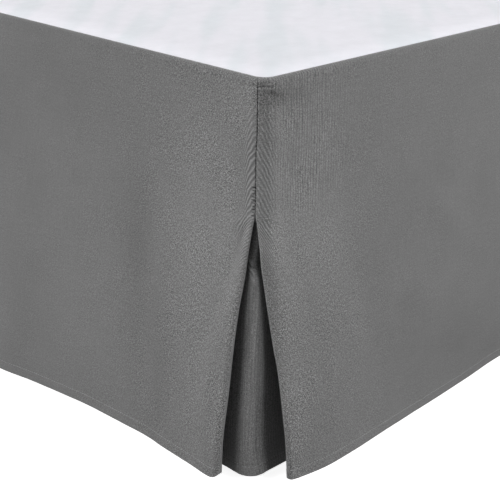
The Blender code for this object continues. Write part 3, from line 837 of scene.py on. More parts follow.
def opened(rows, share):
    """A pleat's or an insert's table with its opening kept to a share of the full one."""
    sewn_row = next(row for row in rows if row.depth == SEAM_LENGTH)
    return [type(sewn_row)(row.depth, *(shut + share * (wide - shut)
                                        for shut, wide in zip(sewn_row[1:], row[1:])))
            for row in rows]


LEFT_INSERT = opened(INSERT, LEFT_OPENING)


def pair(along, out):
    """Two arrays of the same shape as one array of places in plan."""
    return np.stack(np.broadcast_arrays(along, out), axis=-1)


def curl(start, start_way, end, end_way, steps):
    """Cubics from starts to ends, one a row: the places, and the way square to them."""
    reach = CURL_HANDLE * np.linalg.norm(end - start, axis=-1, keepdims=True)
    handle_a, handle_b = start + reach * start_way, end - reach * end_way
    a, b, c, d = (point[:, None, :] for point in (start, handle_a, handle_b, end))
    t = np.linspace(0, 1, steps + 1)[None, :, None]
    place = (1 - t) ** 3 * a + 3 * t * (1 - t) ** 2 * b + 3 * t * t * (1 - t) * c + t ** 3 * d
    way = (1 - t) ** 2 * (b - a) + 2 * t * (1 - t) * (c - b) + t * t * (d - c)
    way /= np.linalg.norm(way, axis=-1, keepdims=True)
    return place, np.stack((way[..., 1], -way[..., 0]), axis=-1)


def face_out(hem, along, depth, from_pleat):
    """How far out a drop's plain face hangs."""
    fall = read(FALL, depth)
    away = smooth((from_pleat - NEAR_REACH) / (FAR_REACH - NEAR_REACH))
    share = fall.near + away * (fall.far - fall.near)
    return ROLL + share * (read(hem, along).out - ROLL)


def squared(angle, squareness):
    """The cosine and sine of an angle, pushed out towards a square's corner."""
    power = 2 / squareness
    return (np.sign(np.cos(angle)) * np.abs(np.cos(angle)) ** power, np.abs(np.sin(angle)) ** power)


# A drop's sections at all its depths: each point's place in plan, the way out from the bed there,
# how far it lies behind the drop's face, and the column of the fold's tip
Sections = namedtuple("Sections", "place outward behind tip")
FRONT_STEPS, FOLD_STEPS, BACK_STEPS, TAIL_STEPS, LEAD_STEPS = 26, 13, 12, 9, 15


def pleat_sections(pleats, hem, insert_out, depths, mirrored_at=None):
    """The folded end of a drop at every depth, from the return's end to where the face runs on.

    The fold is round, but square where the seam is drawn shut at its top.
    """
    row = read(pleats, depths)
    turn = np.radians(row.heading)
    way = pair(-np.cos(turn), -np.sin(turn))
    normal = pair(-np.sin(turn), np.cos(turn))
    centre = pair(row.fold_along, row.fold_out)
    radius = row.radius[:, None]
    along = row.curl_from if mirrored_at is None else mirrored_at - row.curl_from
    start = pair(row.curl_from, face_out(hem, along, depths, row.curl_from))
    ahead = np.broadcast_to(np.array((-1.0, 0.0)), start.shape)
    front, front_out = curl(start, ahead, centre + radius * normal, way, FRONT_STEPS)
    squareness = ROUND + (SEAM_SQUARENESS - ROUND) * (1 - smooth((depths - SEAM_SHUT) / 0.003))
    angle = np.linspace(0, math.pi, FOLD_STEPS)[None, 1:-1]
    facing_out, forward = squared(angle, squareness[:, None])
    fold = (centre[:, None, :] + radius[:, None, :] * (facing_out[..., None] * normal[:, None, :]
                                                       + forward[..., None] * way[:, None, :]))
    fold_out = np.broadcast_to(normal[:, None, :], fold.shape)
    fold_behind = SEAM_FOLD * (1 - facing_out)
    back_end = pair(row.curl_from, row.back_out)
    back, back_in = curl(centre - radius * normal, -way, back_end, -ahead, BACK_STEPS)
    end_out = np.minimum(row.back_out, insert_out + RETURN_CLEARANCE)
    t = np.linspace(0, 1, TAIL_STEPS)[None, 1:]
    tail = pair(row.curl_from[:, None] + (RETURN_LENGTH - row.curl_from[:, None]) * t,
                row.back_out[:, None] + (end_out - row.back_out)[:, None] * smooth(t))
    t = np.linspace(0, 1, LEAD_STEPS)[None, 1:]
    run = row.curl_from[:, None] + (LEAD_END - row.curl_from[:, None]) * t
    run_at = run if mirrored_at is None else mirrored_at - run
    lead = pair(run, face_out(hem, run_at, depths[:, None], run))
    plain = np.broadcast_to(np.array((0.0, 1.0)), (len(depths), 1, 2))
    parts = [
        (tail[:, ::-1], np.broadcast_to(plain, tail.shape), RETURN_BEHIND),
        (back[:, ::-1], -back_in[:, ::-1], RETURN_BEHIND),
        (fold[:, ::-1], fold_out, fold_behind[:, ::-1]),
        (front[:, ::-1], front_out[:, ::-1], 0.0),
        (lead, np.broadcast_to(plain, lead.shape), 0.0),
    ]
    tip = tail.shape[1] + back.shape[1] + fold.shape[1] // 2
    behind = [np.broadcast_to(np.asarray(b, dtype=float), p.shape[:2]) for p, _, b in parts]
    return Sections(np.concatenate([p for p, _, _ in parts], axis=1),
                    np.concatenate([o for _, o, _ in parts], axis=1),
                    np.concatenate(behind, axis=1), tip)


# Lines of points either side of a hem's top-stitching, from the hem's edge
BY_HEM = (0.0130, 0.0123, 0.0117, 0.0111, 0.0105, 0.0099, 0.0093, 0.0085)

# The depths of a drop's rows below its roll: close together by the deck and at the hem
TOP_DEPTHS = np.arange(0.0066, 0.0205, 0.0007)
FACE_DEPTHS = np.linspace(0.0217, DROP - 0.0150, 93)
HEM_DEPTHS = DROP - np.array((*BY_HEM, 0.0070, 0.0050, 0.0030, 0.0014, 0.0005))
DROP_DEPTHS = np.concatenate(([ROLL], TOP_DEPTHS, FACE_DEPTHS, HEM_DEPTHS))
ROLL_LEANS = np.radians((0, 4, 12, 24, 36, 48, 60, 72, 82))


def run_stations(length, pleated_far_end):
    """Places along a drop past its pleat: close near a pleat, wider apart further on."""
    near, step = [RUN_START], RUN_STEP
    while step < RUN_WIDEST_STEP:
        near.append(near[-1] + step)
        step *= RUN_GROWTH
    if pleated_far_end:
        far = length - np.array(near[::-1])
    else:
        far = length - np.array((*BY_HEM, 0.0060, 0.0030, 0.0010, 0.0))
    middle = np.linspace(near[-1], far[0], round((far[0] - near[-1]) / RUN_WIDEST_STEP))
    return np.concatenate((near[:-1], middle, far[1:]))


def run_sections(hem, stations, depths, from_pleat):
    """A drop's plain run at every depth."""
    out = face_out(hem, stations[None, :], depths[:, None], from_pleat[None, :])
    place = pair(np.broadcast_to(stations[None, :], out.shape), out)
    return place, np.broadcast_to(np.array((0.0, 1.0)), place.shape), np.zeros(out.shape)


def rolled_grid(sections, depths, place_in_plan):
    """Points of a drop's outer face: over the deck's edge, then down, with their lengths down."""
    radius = ROLL - sections.behind[0]
    rows, down = [], []
    for lean in ROLL_LEANS:
        up, forward = squared(lean, ROLL_SQUARENESS)
        back = (radius * (1 - forward))[:, None] * sections.outward[0]
        plan = place_in_plan(sections.place[0] - back)
        rows.append(np.column_stack((plan, DECK_TOP - ROLL + radius * up)))
        down.append(ROLL * lean)
    for place, depth in zip(sections.place, depths):
        plan = place_in_plan(place)
        rows.append(np.column_stack((plan, np.full(len(plan), DECK_TOP - depth))))
        down.append(ROLL * math.pi / 2 + depth - ROLL)
    return np.array(rows), np.array(down)


def length_along(place, anchor, anchor_value):
    """Length along each section, equal to anchor_value at the anchor's column."""
    steps = np.linalg.norm(np.diff(place, axis=1), axis=-1)
    total = np.concatenate((np.zeros((len(place), 1)), np.cumsum(steps, axis=1)), axis=1)
    return total - total[:, anchor:anchor + 1] + anchor_value


def facing(grid, turned):
    """Unit normals of a grid of points, pointing out of the cloth's face."""
    across, down = np.gradient(grid, axis=1), np.gradient(grid, axis=0)
    normal = np.cross(across, down)
    normal /= np.maximum(np.linalg.norm(normal, axis=-1, keepdims=True), 1e-12)
    return -normal if turned else normal


def closed_cloth(name, outer, inner, places, turned, material, marks):
    """A closed sheet from its outer and inner grids, rounded at the bottom edge.

    marks are numbers for each point that the material reads by name.
    """
    rows, columns, _ = outer.shape
    edge = (outer[-1] + inner[-1]) / 2
    edge[:, 2] -= EDGE_BULGE
    rings = np.concatenate((outer, edge[None], inner[::-1]))
    loop = len(rings)
    faces = (grid_faces(loop + 1, columns, 0, turned) % (loop * columns)).tolist()
    for column, flip in ((0, turned), (columns - 1, not turned)):
        side = column + columns * np.arange(loop)
        for r in range(rows - 1):
            wall = (side[r], side[r + 1], side[loop - 2 - r], side[loop - 1 - r])
            faces.append([int(i) for i in (wall[::-1] if flip else wall)])
        tip = (side[rows - 1], side[rows], side[rows + 1])
        faces.append([int(i) for i in (tip[::-1] if flip else tip)])

    def on_rings(values):
        return np.concatenate((values, values[-1:], values[::-1]))

    points = rings.reshape(-1, 3)
    made = made_mesh(name, points, faces, on_rings(places).reshape(-1, 2), material)
    for label, values in marks.items():
        mark = made.data.attributes.new(label, "FLOAT", "POINT")
        mark.data.foreach_set("value", on_rings(values).astype(np.float32).ravel())
    return made


# How far a drop's cloth swells, how full its hem is, and how far the hem's stitches draw it in
DROP_SWELL = Swell(0.0012, 0.13, 0.34)
DROP_RIPPLE, DROP_FINE_RIPPLE = Swell(0.00045, 0.041, 0.16), Swell(0.00012, 0.013, 0.035)
HEM_FULLNESS = 0.00022
STITCH_DRAW, STITCH_WIDTH = 0.00032, 0.0007


def hem_relief(from_edge):
    """A hem seen from outside: a little fuller below its top-stitching, and drawn in along it."""
    fuller = HEM_FULLNESS * smooth((HEM + 0.0012 - from_edge) / 0.0024)
    return fuller - STITCH_DRAW * hill(from_edge - HEM, STITCH_WIDTH)


def pressed(across, down, creases):
    """How far creases stand out, at places across from a seam or a corner and down the cloth."""
    height = 0.0
    for crease in creases:
        lean = math.radians(crease.lean)
        off, fall = across - crease.from_seam, down - crease.depth
        length = hill(off * math.sin(lean) + fall * math.cos(lean), crease.length)
        width = hill(off * math.cos(lean) - fall * math.sin(lean), crease.width)
        height = height + crease.height * length * width
    return height


def relief(along, down, from_seam, from_end, creases, seed):
    """How far a drop's face stands out of its plain shape, in metres."""
    loose = smooth((down - 0.02) / 0.10) * smooth((DROP - down) / 0.02 + 0.35)
    height = swelling(along, down, DROP_SWELL, seed, loose)
    height += swelling(along, down, DROP_RIPPLE, seed + 1, loose)
    height += swelling(along, down, DROP_FINE_RIPPLE, seed + 2, smooth(down / 0.03))
    height = height * smooth(from_seam / 0.03)
    height += smooth(from_seam / 0.0025) * pressed(from_seam, down, creases)
    return height + hem_relief(DROP - down) + hem_relief(from_end)


def cloth_depth(down, from_end):
    """The cloth's thickness: single, or folded double where a hem is turned in."""
    return TWILL + HEM_FOLD * np.maximum(turned_in(DROP - down), turned_in(from_end))


# How a drop's cloth is drawn in fine lines beside a sewn corner. pull is how strongly; slope and
# bend shape the lines, which run out from the seam with a first slope and bend down; reach and
# spread say how far out they lie, and below how far out past the seam's end. worked is how far
# out the weave is roughed up; ribs how strongly its upright ribs show there; and rise how far
# the hem is drawn up at the fold.
Drawn = namedtuple("Drawn", "pull slope bend reach spread below worked ribs rise")
FOOT_DRAWN = Drawn(1.35, 0.85, 5200.0, 0.0060, 0.0080, 0.0100, 0.155, 0.0, 0.0047)
SIDE_DRAWN = Drawn(0.95, 1.80, 1200.0, 0.0070, 0.0085, 0.0070, 0.115, 0.9, 0.0011)

# The drawn lines: how far apart they are, finer by the seam's end, how far out they bend, and
# where the bend eases. Then where the pull comes in and fades out, how strong it is past the
# seam's end, where the ribs show, and how rough the plain cloth is.
LINE_PITCH, FINE_LINE_PITCH = 0.0070, 0.0034
FINE_LINES_FROM = SEAM_LENGTH - 0.006
LINES_BEND_TO = 0.014
BEND_EASES_AT, BEND_EASES_OVER, BEND_EASE = 0.112, 0.020, 0.6
PULL_STARTS = ((0.016, 0.015), (0.035, 0.035))
PULL_BELOW = 1.35
PULL_STOPS, PULL_FADES_OVER = 0.190, 0.040
RIBS_AT, RIBS_WIDTH = 0.058, 0.056
RIBS_STOP, RIBS_FADE_OVER = 0.150, 0.045
WORKED_PLAIN = 0.30

# A soft patch of painted light, or painted shade where it is negative: its middle, from the seam
# and down from the deck, its half sizes across and down, and how strongly it shows
Rub = namedtuple("Rub", "from_seam depth across down amount")
FOOT_LIGHT_PATCHES = [
    Rub(0.065, 0.150, 0.070, 0.121, 1.50),
    Rub(0.004, 0.085, 0.010, 0.100, 0.95),
    Rub(0.020, 0.020, 0.022, 0.024, 0.70),
    Rub(0.142, 0.175, 0.022, 0.055, -0.65),
    Rub(0.114, 0.245, 0.018, 0.050, -0.80),
    Rub(0.098, 0.325, 0.018, 0.065, -0.95),
    Rub(0.040, 0.300, 0.016, 0.080, 0.55),
    Rub(0.031, 0.118, 0.012, 0.055, 0.50),
    Rub(0.082, 0.085, 0.030, 0.030, 0.40),
    Rub(0.225, 0.295, 0.040, 0.045, 0.45),
    Rub(0.215, 0.220, 0.050, 0.090, 0.50),
    Rub(0.340, 0.045, 0.170, 0.075, -0.60),
    Rub(0.390, 0.140, 0.060, 0.080, -0.40),
    # Painted shade along the roll at the top
    Rub(0.190, 0.000, 0.250, 0.012, -0.40),
    # A painted highlight along the fold's crest
    Rub(0.002, 0.310, 0.010, 0.100, 1.30),
    Rub(0.000, 0.150, 0.030, 0.050, 0.60),
]
SIDE_LIGHT_PATCHES = [
    Rub(0.055, 0.140, 0.055, 0.085, 1.20),
    Rub(0.008, 0.090, 0.017, 0.090, 1.45),
    # Painted shade in the dent below the seam's top
    Rub(0.015, 0.016, 0.013, 0.009, -2.40),
    Rub(0.038, 0.019, 0.018, 0.012, -1.00),
    Rub(0.013, 0.128, 0.010, 0.012, 0.70),
    Rub(0.011, 0.165, 0.012, 0.014, -0.50),
    Rub(0.178, 0.272, 0.035, 0.035, -0.60),
    Rub(0.245, 0.120, 0.030, 0.020, -0.40),
    Rub(0.320, 0.362, 0.060, 0.020, -0.80),
    Rub(0.250, 0.330, 0.130, 0.045, -0.95),
    Rub(0.320, 0.250, 0.080, 0.110, -0.35),
    Rub(0.006, 0.260, 0.020, 0.100, 1.90),
]


def painted_light_and_shade(across, down, rubs):
    """How much painted light lightens the cloth, or painted shade darkens it."""
    return sum(light_patch.amount * hill(across - light_patch.from_seam, light_patch.across)
               * hill(down - light_patch.depth, light_patch.down) for light_patch in rubs)


def cloth_marks(from_seam, down, drawn, rubs):
    """Sewing's marks beside a pleat and the light and shade painted there, for the material to show.

    pull is where the cloth is drawn into fine slanting lines, and lines counts them; worked is
    where the weave is roughed up, and painted_light where painted light and painted shade lie.
    """
    face = from_seam > 0
    seam = np.maximum(from_seam, 0.0)
    started = sum(0.5 * smooth((down - start) / over) for start, over in PULL_STARTS)
    beside = hill(seam - drawn.reach, drawn.spread) * started
    beside = drawn.pull * beside * smooth((SEAM_LENGTH + 0.004 - down) / 0.010)
    below = hill(seam - drawn.below, drawn.below) * smooth((down - SEAM_LENGTH + 0.004) / 0.008)
    below = PULL_BELOW * below * smooth((PULL_STOPS - down) / PULL_FADES_OVER)
    bent = np.minimum(seam, LINES_BEND_TO)
    bend = drawn.bend * (1 - BEND_EASE * smooth((down - BEND_EASES_AT) / BEND_EASES_OVER))
    level = down - drawn.slope * seam - bend * (bent ** 3 + 3 * bent ** 2 * (seam - bent))
    lines = np.where(level < FINE_LINES_FROM, level / LINE_PITCH,
                     FINE_LINES_FROM / LINE_PITCH + (level - FINE_LINES_FROM) / FINE_LINE_PITCH)
    worked = WORKED_PLAIN + (1 - WORKED_PLAIN) * hill(seam, drawn.worked)
    ribs = drawn.ribs * hill(seam - RIBS_AT, RIBS_WIDTH) * smooth(
        (RIBS_STOP - down) / RIBS_FADE_OVER)
    return {"pull": np.where(face, np.maximum(beside, below), 0.0), "lines": lines,
            "worked": np.where(face, worked, WORKED_PLAIN),
            "painted_light": np.where(face, painted_light_and_shade(seam, down, rubs), 0.0),
            "ribs": np.where(face, ribs, 0.0)}


# The twill: its yarns and slubs, then the sizes of its uneven marks across and down the cloth
TWILL_YARN, WARP_SLUB, WEFT_SLUB, TWILL_MOTTLE = 0.00085, 0.0026, 0.0022, 0.075
SLUB_SIZE = (0.0010, 0.0012)
RIB_SIZE, RIB_WANDER, RIB_PITCH = (0.0012, 0.020), (0.012, 0.060), 0.0032
LINE_STRAY = (0.006, 0.010)
ROUGH_PATCH = (0.030, 0.055)
LONG_YARN = (0.0018, 0.030)

# How far each kind of mark makes the twill lighter and darker, and how far its threads stand up
YARN_SWING, SLUB_SWING, MOTTLE_SWING, LONG_YARN_SWING = 0.46, 0.49, 0.06, 0.03
LINE_SWING, PAINTED_LIGHT_SWING = 0.27, 0.155
YARN_RISE, SLUB_RISE, LINE_RISE = 0.00010, 0.00008, 0.00022


def charcoal_twill():
    """Brushed charcoal twill: uneven yarns, fine drawn lines by the seams, a soft matt nap, painted
    light and shade.
    """
    material, tree, shader = bare_material("charcoal_twill", 0.94, sheen=0.12)
    place = add(tree, "ShaderNodeUVMap", uv_map="cloth").outputs[0]
    pull, lines, worked, painted_light, ribs = (
        add(tree, "ShaderNodeAttribute", attribute_name=mark).outputs["Fac"]
        for mark in ("pull", "lines", "worked", "painted_light", "ribs"))
    weave = weave_of(tree, place, TWILL_YARN, WARP_SLUB, WEFT_SLUB, TWILL_MOTTLE)
    across, down, _ = add(tree, "ShaderNodeSeparateXYZ", {0: place}).outputs
    slub = eased(tree, streaks(tree, across, down, *SLUB_SIZE, 2.0), 0.32, 0.68)
    uneven = eased(tree, streaks(tree, across, down, *RIB_SIZE), 0.20, 0.80)
    wander = calc(tree, "MULTIPLY", streaks(tree, across, down, *RIB_WANDER), 7.0)
    even = calc(tree, "SINE", calc(tree, "MULTIPLY_ADD", across, 2 * math.pi / RIB_PITCH, wander))
    rib = mixed(tree, "FLOAT", 0.5, uneven, calc(tree, "MULTIPLY_ADD", even, 0.5, 0.5))
    stray = streaks(tree, across, down, *LINE_STRAY)
    wave = calc(tree, "SINE", calc(tree, "MULTIPLY_ADD", lines, 2 * math.pi,
                                   calc(tree, "MULTIPLY", stray, 5.0)))
    drawn = calc(tree, "MULTIPLY", wave, pull)
    patch = eased(tree, streaks(tree, across, down, *ROUGH_PATCH, 2.0), 0.36, 0.64)
    rough = calc(tree, "MULTIPLY", worked, calc(tree, "MULTIPLY_ADD", patch, 0.35, 0.65))
    calm = calc(tree, "MULTIPLY", rough, calc(tree, "MULTIPLY_ADD", pull, -0.6, 1.0))
    long_yarns = calc(tree, "ADD", streaks(tree, across, down, *LONG_YARN),
                      streaks(tree, down, across, *LONG_YARN))
    yarn_lines = eased(tree, long_yarns, 0.75, 1.25)
    yarn = mixed(tree, "FLOAT", calm, 0.5, weave["Tone"])
    slubs = mixed(tree, "FLOAT", calm, 0.5, mixed(tree, "FLOAT", ribs, slub, rib))
    line_tone = calc(tree, "MULTIPLY_ADD", drawn, 0.5, 0.5)
    # Painted light and painted shade on the twill
    painted_tone = calc(tree, "MULTIPLY_ADD", painted_light, 0.5, 0.5)
    colour = shaded(tree, CHARCOAL, (yarn, YARN_SWING), (slubs, SLUB_SWING),
                    (weave["Mottle"], MOTTLE_SWING), (yarn_lines, LONG_YARN_SWING),
                    (line_tone, LINE_SWING), (painted_tone, PAINTED_LIGHT_SWING))
    tree.links.new(colour, shader.inputs["Base Color"])
    height = calc(tree, "MULTIPLY", weave["Weave"], YARN_RISE)
    height = calc(tree, "MULTIPLY_ADD", slub, SLUB_RISE, height)
    raised(tree, shader, calc(tree, "MULTIPLY_ADD", drawn, LINE_RISE, height))
    return material


CHARCOAL_TWILL = charcoal_twill()
GREY_THREAD = thread("grey_thread", THREAD_GREY)
SEAM_THREAD = thread("seam_thread", SEAM_GREY, 0.0)

# What pressing and sewing have done to a drop's cloth, and the light and shade painted on it
DropMarks = namedtuple("DropMarks", "creases drawn rubs")
FOOT_MARKS = DropMarks(FOOT_CREASES, FOOT_DRAWN, FOOT_LIGHT_PATCHES)
SIDE_MARKS = DropMarks(SIDE_CREASES, SIDE_DRAWN, SIDE_LIGHT_PATCHES)


def nearest(places, wanted):
    """The number of the place nearest to a wanted one."""
    return int(np.argmin(np.abs(places - wanted)))


def with_roll(values):
    """A drop's values at each depth, with those of the roll's rows ahead of them."""
    return np.vstack((np.repeat(values[:1], len(ROLL_LEANS), axis=0), values))


def drop(name, node, sections, in_plan, along, from_seam, from_end, drop_marks, turned, seed,
         seam_lines=(), tacks=()):
    """along, from_seam and from_end are lengths along the cloth at each point: from the foot corner,
    from its pleat's fold, and from its hemmed end.
    """
    creases, drawn, rubs = drop_marks
    plain, down = rolled_grid(sections, DROP_DEPTHS, in_plan)
    along, from_seam, from_end = map(with_roll, (along, from_seam, from_end))
    depth = np.broadcast_to(down[:, None] - ROLL * (math.pi / 2 - 1), along.shape)
    normal = facing(plain, turned)
    outer = plain + normal * relief(along, depth, from_seam, from_end, creases, seed)[..., None]
    outer[0, :, 2] -= ROLL_TUCK
    inner = outer - facing(outer, turned) * cloth_depth(depth, from_end)[..., None]
    risen = drawn.rise * hill(np.abs(from_seam), RISE_ACROSS) * smooth(
        (depth - DROP + RISE_UP) / RISE_UP)
    outer[..., 2] += risen
    inner[..., 2] += risen
    places = np.stack((along, np.broadcast_to(down[:, None], along.shape)), axis=-1)
    cloth = closed_cloth(name, outer, inner, places, turned, CHARCOAL_TWILL,
                         cloth_marks(from_seam, depth, drawn, rubs))
    raised_line = outer + STITCH_RAISE * normal
    hem_row = nearest(depth[:, 0], DROP - HEM)
    lines = [raised_line[hem_row]]
    if from_end[-1].min() == 0:
        end_column = nearest(from_end[-1], HEM)
        lines.append(raised_line[len(ROLL_LEANS) + 4:hem_row, end_column])
    pieces = [cloth, sewn(f"{name}_stitches", lines, GREY_THREAD)]
    if seam_lines:
        pieces.append(sewn(f"{name}_tacks", tacks, SEAM_THREAD, Length=0.0050,
                           Thickness=0.0008))
        pieces.append(sewn(f"{name}_seam_stitches", seam_lines, SEAM_THREAD, Length=0.0020,
                           Thickness=0.0010))
    for piece in pieces:
        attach(piece, "root")
    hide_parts(node)


def across_foot(place):
    """Plan places from the right foot corner, across the foot."""
    return np.column_stack((BED_WIDTH / 2 - place[:, 0], FOOT_Y - place[:, 1]))


def up_right_side(place):
    """Plan places from the right foot corner, up the right side."""
    return np.column_stack((BED_WIDTH / 2 + place[:, 1], FOOT_Y + place[:, 0]))


def up_left_side(place):
    """Plan places from the left foot corner, up the left side."""
    return np.column_stack((-BED_WIDTH / 2 - place[:, 1], FOOT_Y + place[:, 0]))


def seam_wraps(depths, share):
    """How far round the corner a seam runs, its lean kept to a share of the full one."""
    return SEAM[-1].wrap + share * (read(SEAM, depths).wrap - SEAM[-1].wrap)


def seam_line(side, share=1.0):
    """The line of a corner seam's stitches, on the right (1) or the left (-1)."""
    depths = np.linspace(SEAM_SHUT, SEAM_LENGTH - 0.001, 40)
    spots = across_foot(np.array([seam_spot(DECK_CORNER + ROLL - SEAM_STITCH_SUNK, 0.0, wrap)
                                  for wrap in seam_wraps(depths, share)]))
    return [(side * x, y, DECK_TOP - depth) for (x, y), depth in zip(spots, depths)]


def seam_tacks(side, share=1.0):
    """The lines of the short cross stitches beside a corner seam, above its lower end."""
    depths = np.arange(SEAM_LENGTH - TACKS_START, SEAM_LENGTH - TACKS_STOP, TACK_PITCH)
    tacks = []
    for depth, wrap in zip(depths, seam_wraps(depths, share)):
        spots = across_foot(np.array([seam_spot(DECK_CORNER + ROLL, 0.0, wrap - turn)
                                      for turn in TACK_TURNS]))
        tacks.append([(side * x, y, DECK_TOP - depth) for x, y in spots])
    return tacks


def foot_drop():
    """The foot drop, with a return folded back behind each corner."""
    right = pleat_sections(FOOT_PLEAT, FOOT_HEM, read(INSERT, DROP_DEPTHS).foot_out, DROP_DEPTHS)
    left = pleat_sections(opened(FOOT_PLEAT, LEFT_OPENING), FOOT_HEM,
                          read(LEFT_INSERT, DROP_DEPTHS).foot_out, DROP_DEPTHS, BED_WIDTH)
    stations = run_stations(BED_WIDTH, True)
    run, run_out, run_behind = run_sections(FOOT_HEM, stations, DROP_DEPTHS,
                                            np.minimum(stations, BED_WIDTH - stations))
    mirror = np.array((-1.0, 1.0))
    far_end = (BED_WIDTH, 0) + left.place[:, ::-1] * mirror
    place = np.concatenate((right.place, run, far_end), axis=1)
    outward = np.concatenate((right.outward, run_out, left.outward[:, ::-1] * mirror), axis=1)
    behind = np.concatenate((right.behind, run_behind, left.behind[:, ::-1]), axis=1)
    along = length_along(place, right.place.shape[1], RUN_START)
    left_tip = place.shape[1] - 1 - left.tip
    from_seam = np.minimum(along - along[:, right.tip, None], along[:, left_tip, None] - along)
    no_hemmed_end = np.full_like(along, 1.0)
    drop("foot_drop", "drop_foot", Sections(place, outward, behind, right.tip), across_foot, along,
         from_seam, no_hemmed_end, FOOT_MARKS, turned=False, seed=21,
         seam_lines=[seam_line(1), seam_line(-1, LEFT_OPENING)],
         tacks=seam_tacks(1) + seam_tacks(-1, LEFT_OPENING))


def side_drop(name, node, hem, pleats, inserts, in_plan, turned, seed):
    """A side drop, folded back at the foot corner and hemmed at the head end."""
    pleat = pleat_sections(pleats, hem, read(inserts, DROP_DEPTHS).side_out, DROP_DEPTHS)
    stations = run_stations(BED_LENGTH, False)
    run, run_out, run_behind = run_sections(hem, stations, DROP_DEPTHS, stations)
    place = np.concatenate((pleat.place, run), axis=1)
    outward = np.concatenate((pleat.outward, run_out), axis=1)
    behind = np.concatenate((pleat.behind, run_behind), axis=1)
    along = length_along(place, pleat.place.shape[1], RUN_START)
    from_seam = along - along[:, pleat.tip, None]
    from_end = along[:, -1:] - along
    drop(name, node, Sections(place, outward, behind, pleat.tip), in_plan, along, from_seam,
         from_end, SIDE_MARKS, turned, seed)


foot_drop()
side_drop("right_drop", "drop_right", RIGHT_HEM, SIDE_PLEAT, INSERT, up_right_side, True, 31)
side_drop("left_drop", "drop_left", LEFT_HEM, opened(SIDE_PLEAT, LEFT_OPENING), LEFT_INSERT,
          up_left_side, False, 41)


# ---- pleat inserts
# The real inserts are pieces of the same twill, sewn to the returns behind each foot corner and
# hemmed like the drops. Only a narrow strip shows, where an insert bends round the corner.

INSERT_LENGTH = 0.160
ARC_STEPS, WING_STEPS = 33, 45
INSERT_RIPPLE = Swell(0.0005, 0.009, 0.045)
LOOSE_FROM, LOOSE_WIDTH = 0.120, 0.045

# The depths of an insert's rows: closest together in the top of the slot
INSERT_DEPTHS = np.concatenate((np.linspace(0.006, 0.130, 18), np.linspace(0.1325, 0.200, 56),
                                np.linspace(0.2035, DROP - 0.0150, 46), HEM_DEPTHS))

# Soft folds of an insert: across is measured from the middle of its corner, on towards the side
INSERT_CREASES = [
    Crease(-0.0045, 0.1640, 38, 0.0060, 0.0013, 0.0012),
    Crease(-0.0042, 0.1676, 37, 0.0060, 0.0012, -0.0009),
    Crease(-0.0037, 0.1712, 36, 0.0065, 0.0013, 0.0012),
    Crease(-0.0032, 0.1750, 33, 0.0060, 0.0012, -0.0009),
    Crease(-0.0026, 0.1790, 28, 0.0070, 0.0014, 0.0011),
    Crease(0.0030, 0.1850, -20, 0.0120, 0.0018, -0.0006),
    Crease(-0.0010, 0.2250, 3, 0.0400, 0.0018, 0.0006),
    Crease(0.0035, 0.2500, -2, 0.0500, 0.0016, -0.0006),
    Crease(-0.0110, 0.3000, 2, 0.1000, 0.0060, -0.0006),
    Crease(0.0090, 0.3200, 1, 0.0900, 0.0022, -0.0007),
    Crease(0.0140, 0.3300, 0, 0.0800, 0.0050, 0.0008),
]

# A strip of painted light, or painted shade where it is negative, down an insert: its middle and
# half width, measured across as above, and how strongly it shows. The upper ones fade out down the
# slot.
Strip = namedtuple("Strip", "across width amount")
CORNER_STRIP = Strip(0.001, 0.009, 0.8)
UPPER_STRIPS = [
    Strip(0.0020, 0.0020, 0.5), Strip(-0.0045, 0.0045, -2.4), Strip(-0.0120, 0.0035, 1.2),
    Strip(0.0070, 0.0030, -1.2),
]
STRIPS_STOP, STRIPS_FADE_OVER = 0.300, 0.080
# Painted light on an insert's raised folds and painted shade in its dents: the fold height at which
# it is full, and its most
FULL_FOLD, FOLD_TONE = 0.0009, 1.2
INSERT_WORKED, INSERT_RIBS = 0.78, 0.6


def strip_tone(across, strip):
    """How much lighter or darker a strip of painted light or shade makes the cloth."""
    return strip.amount * hill(across - strip.across, strip.width)


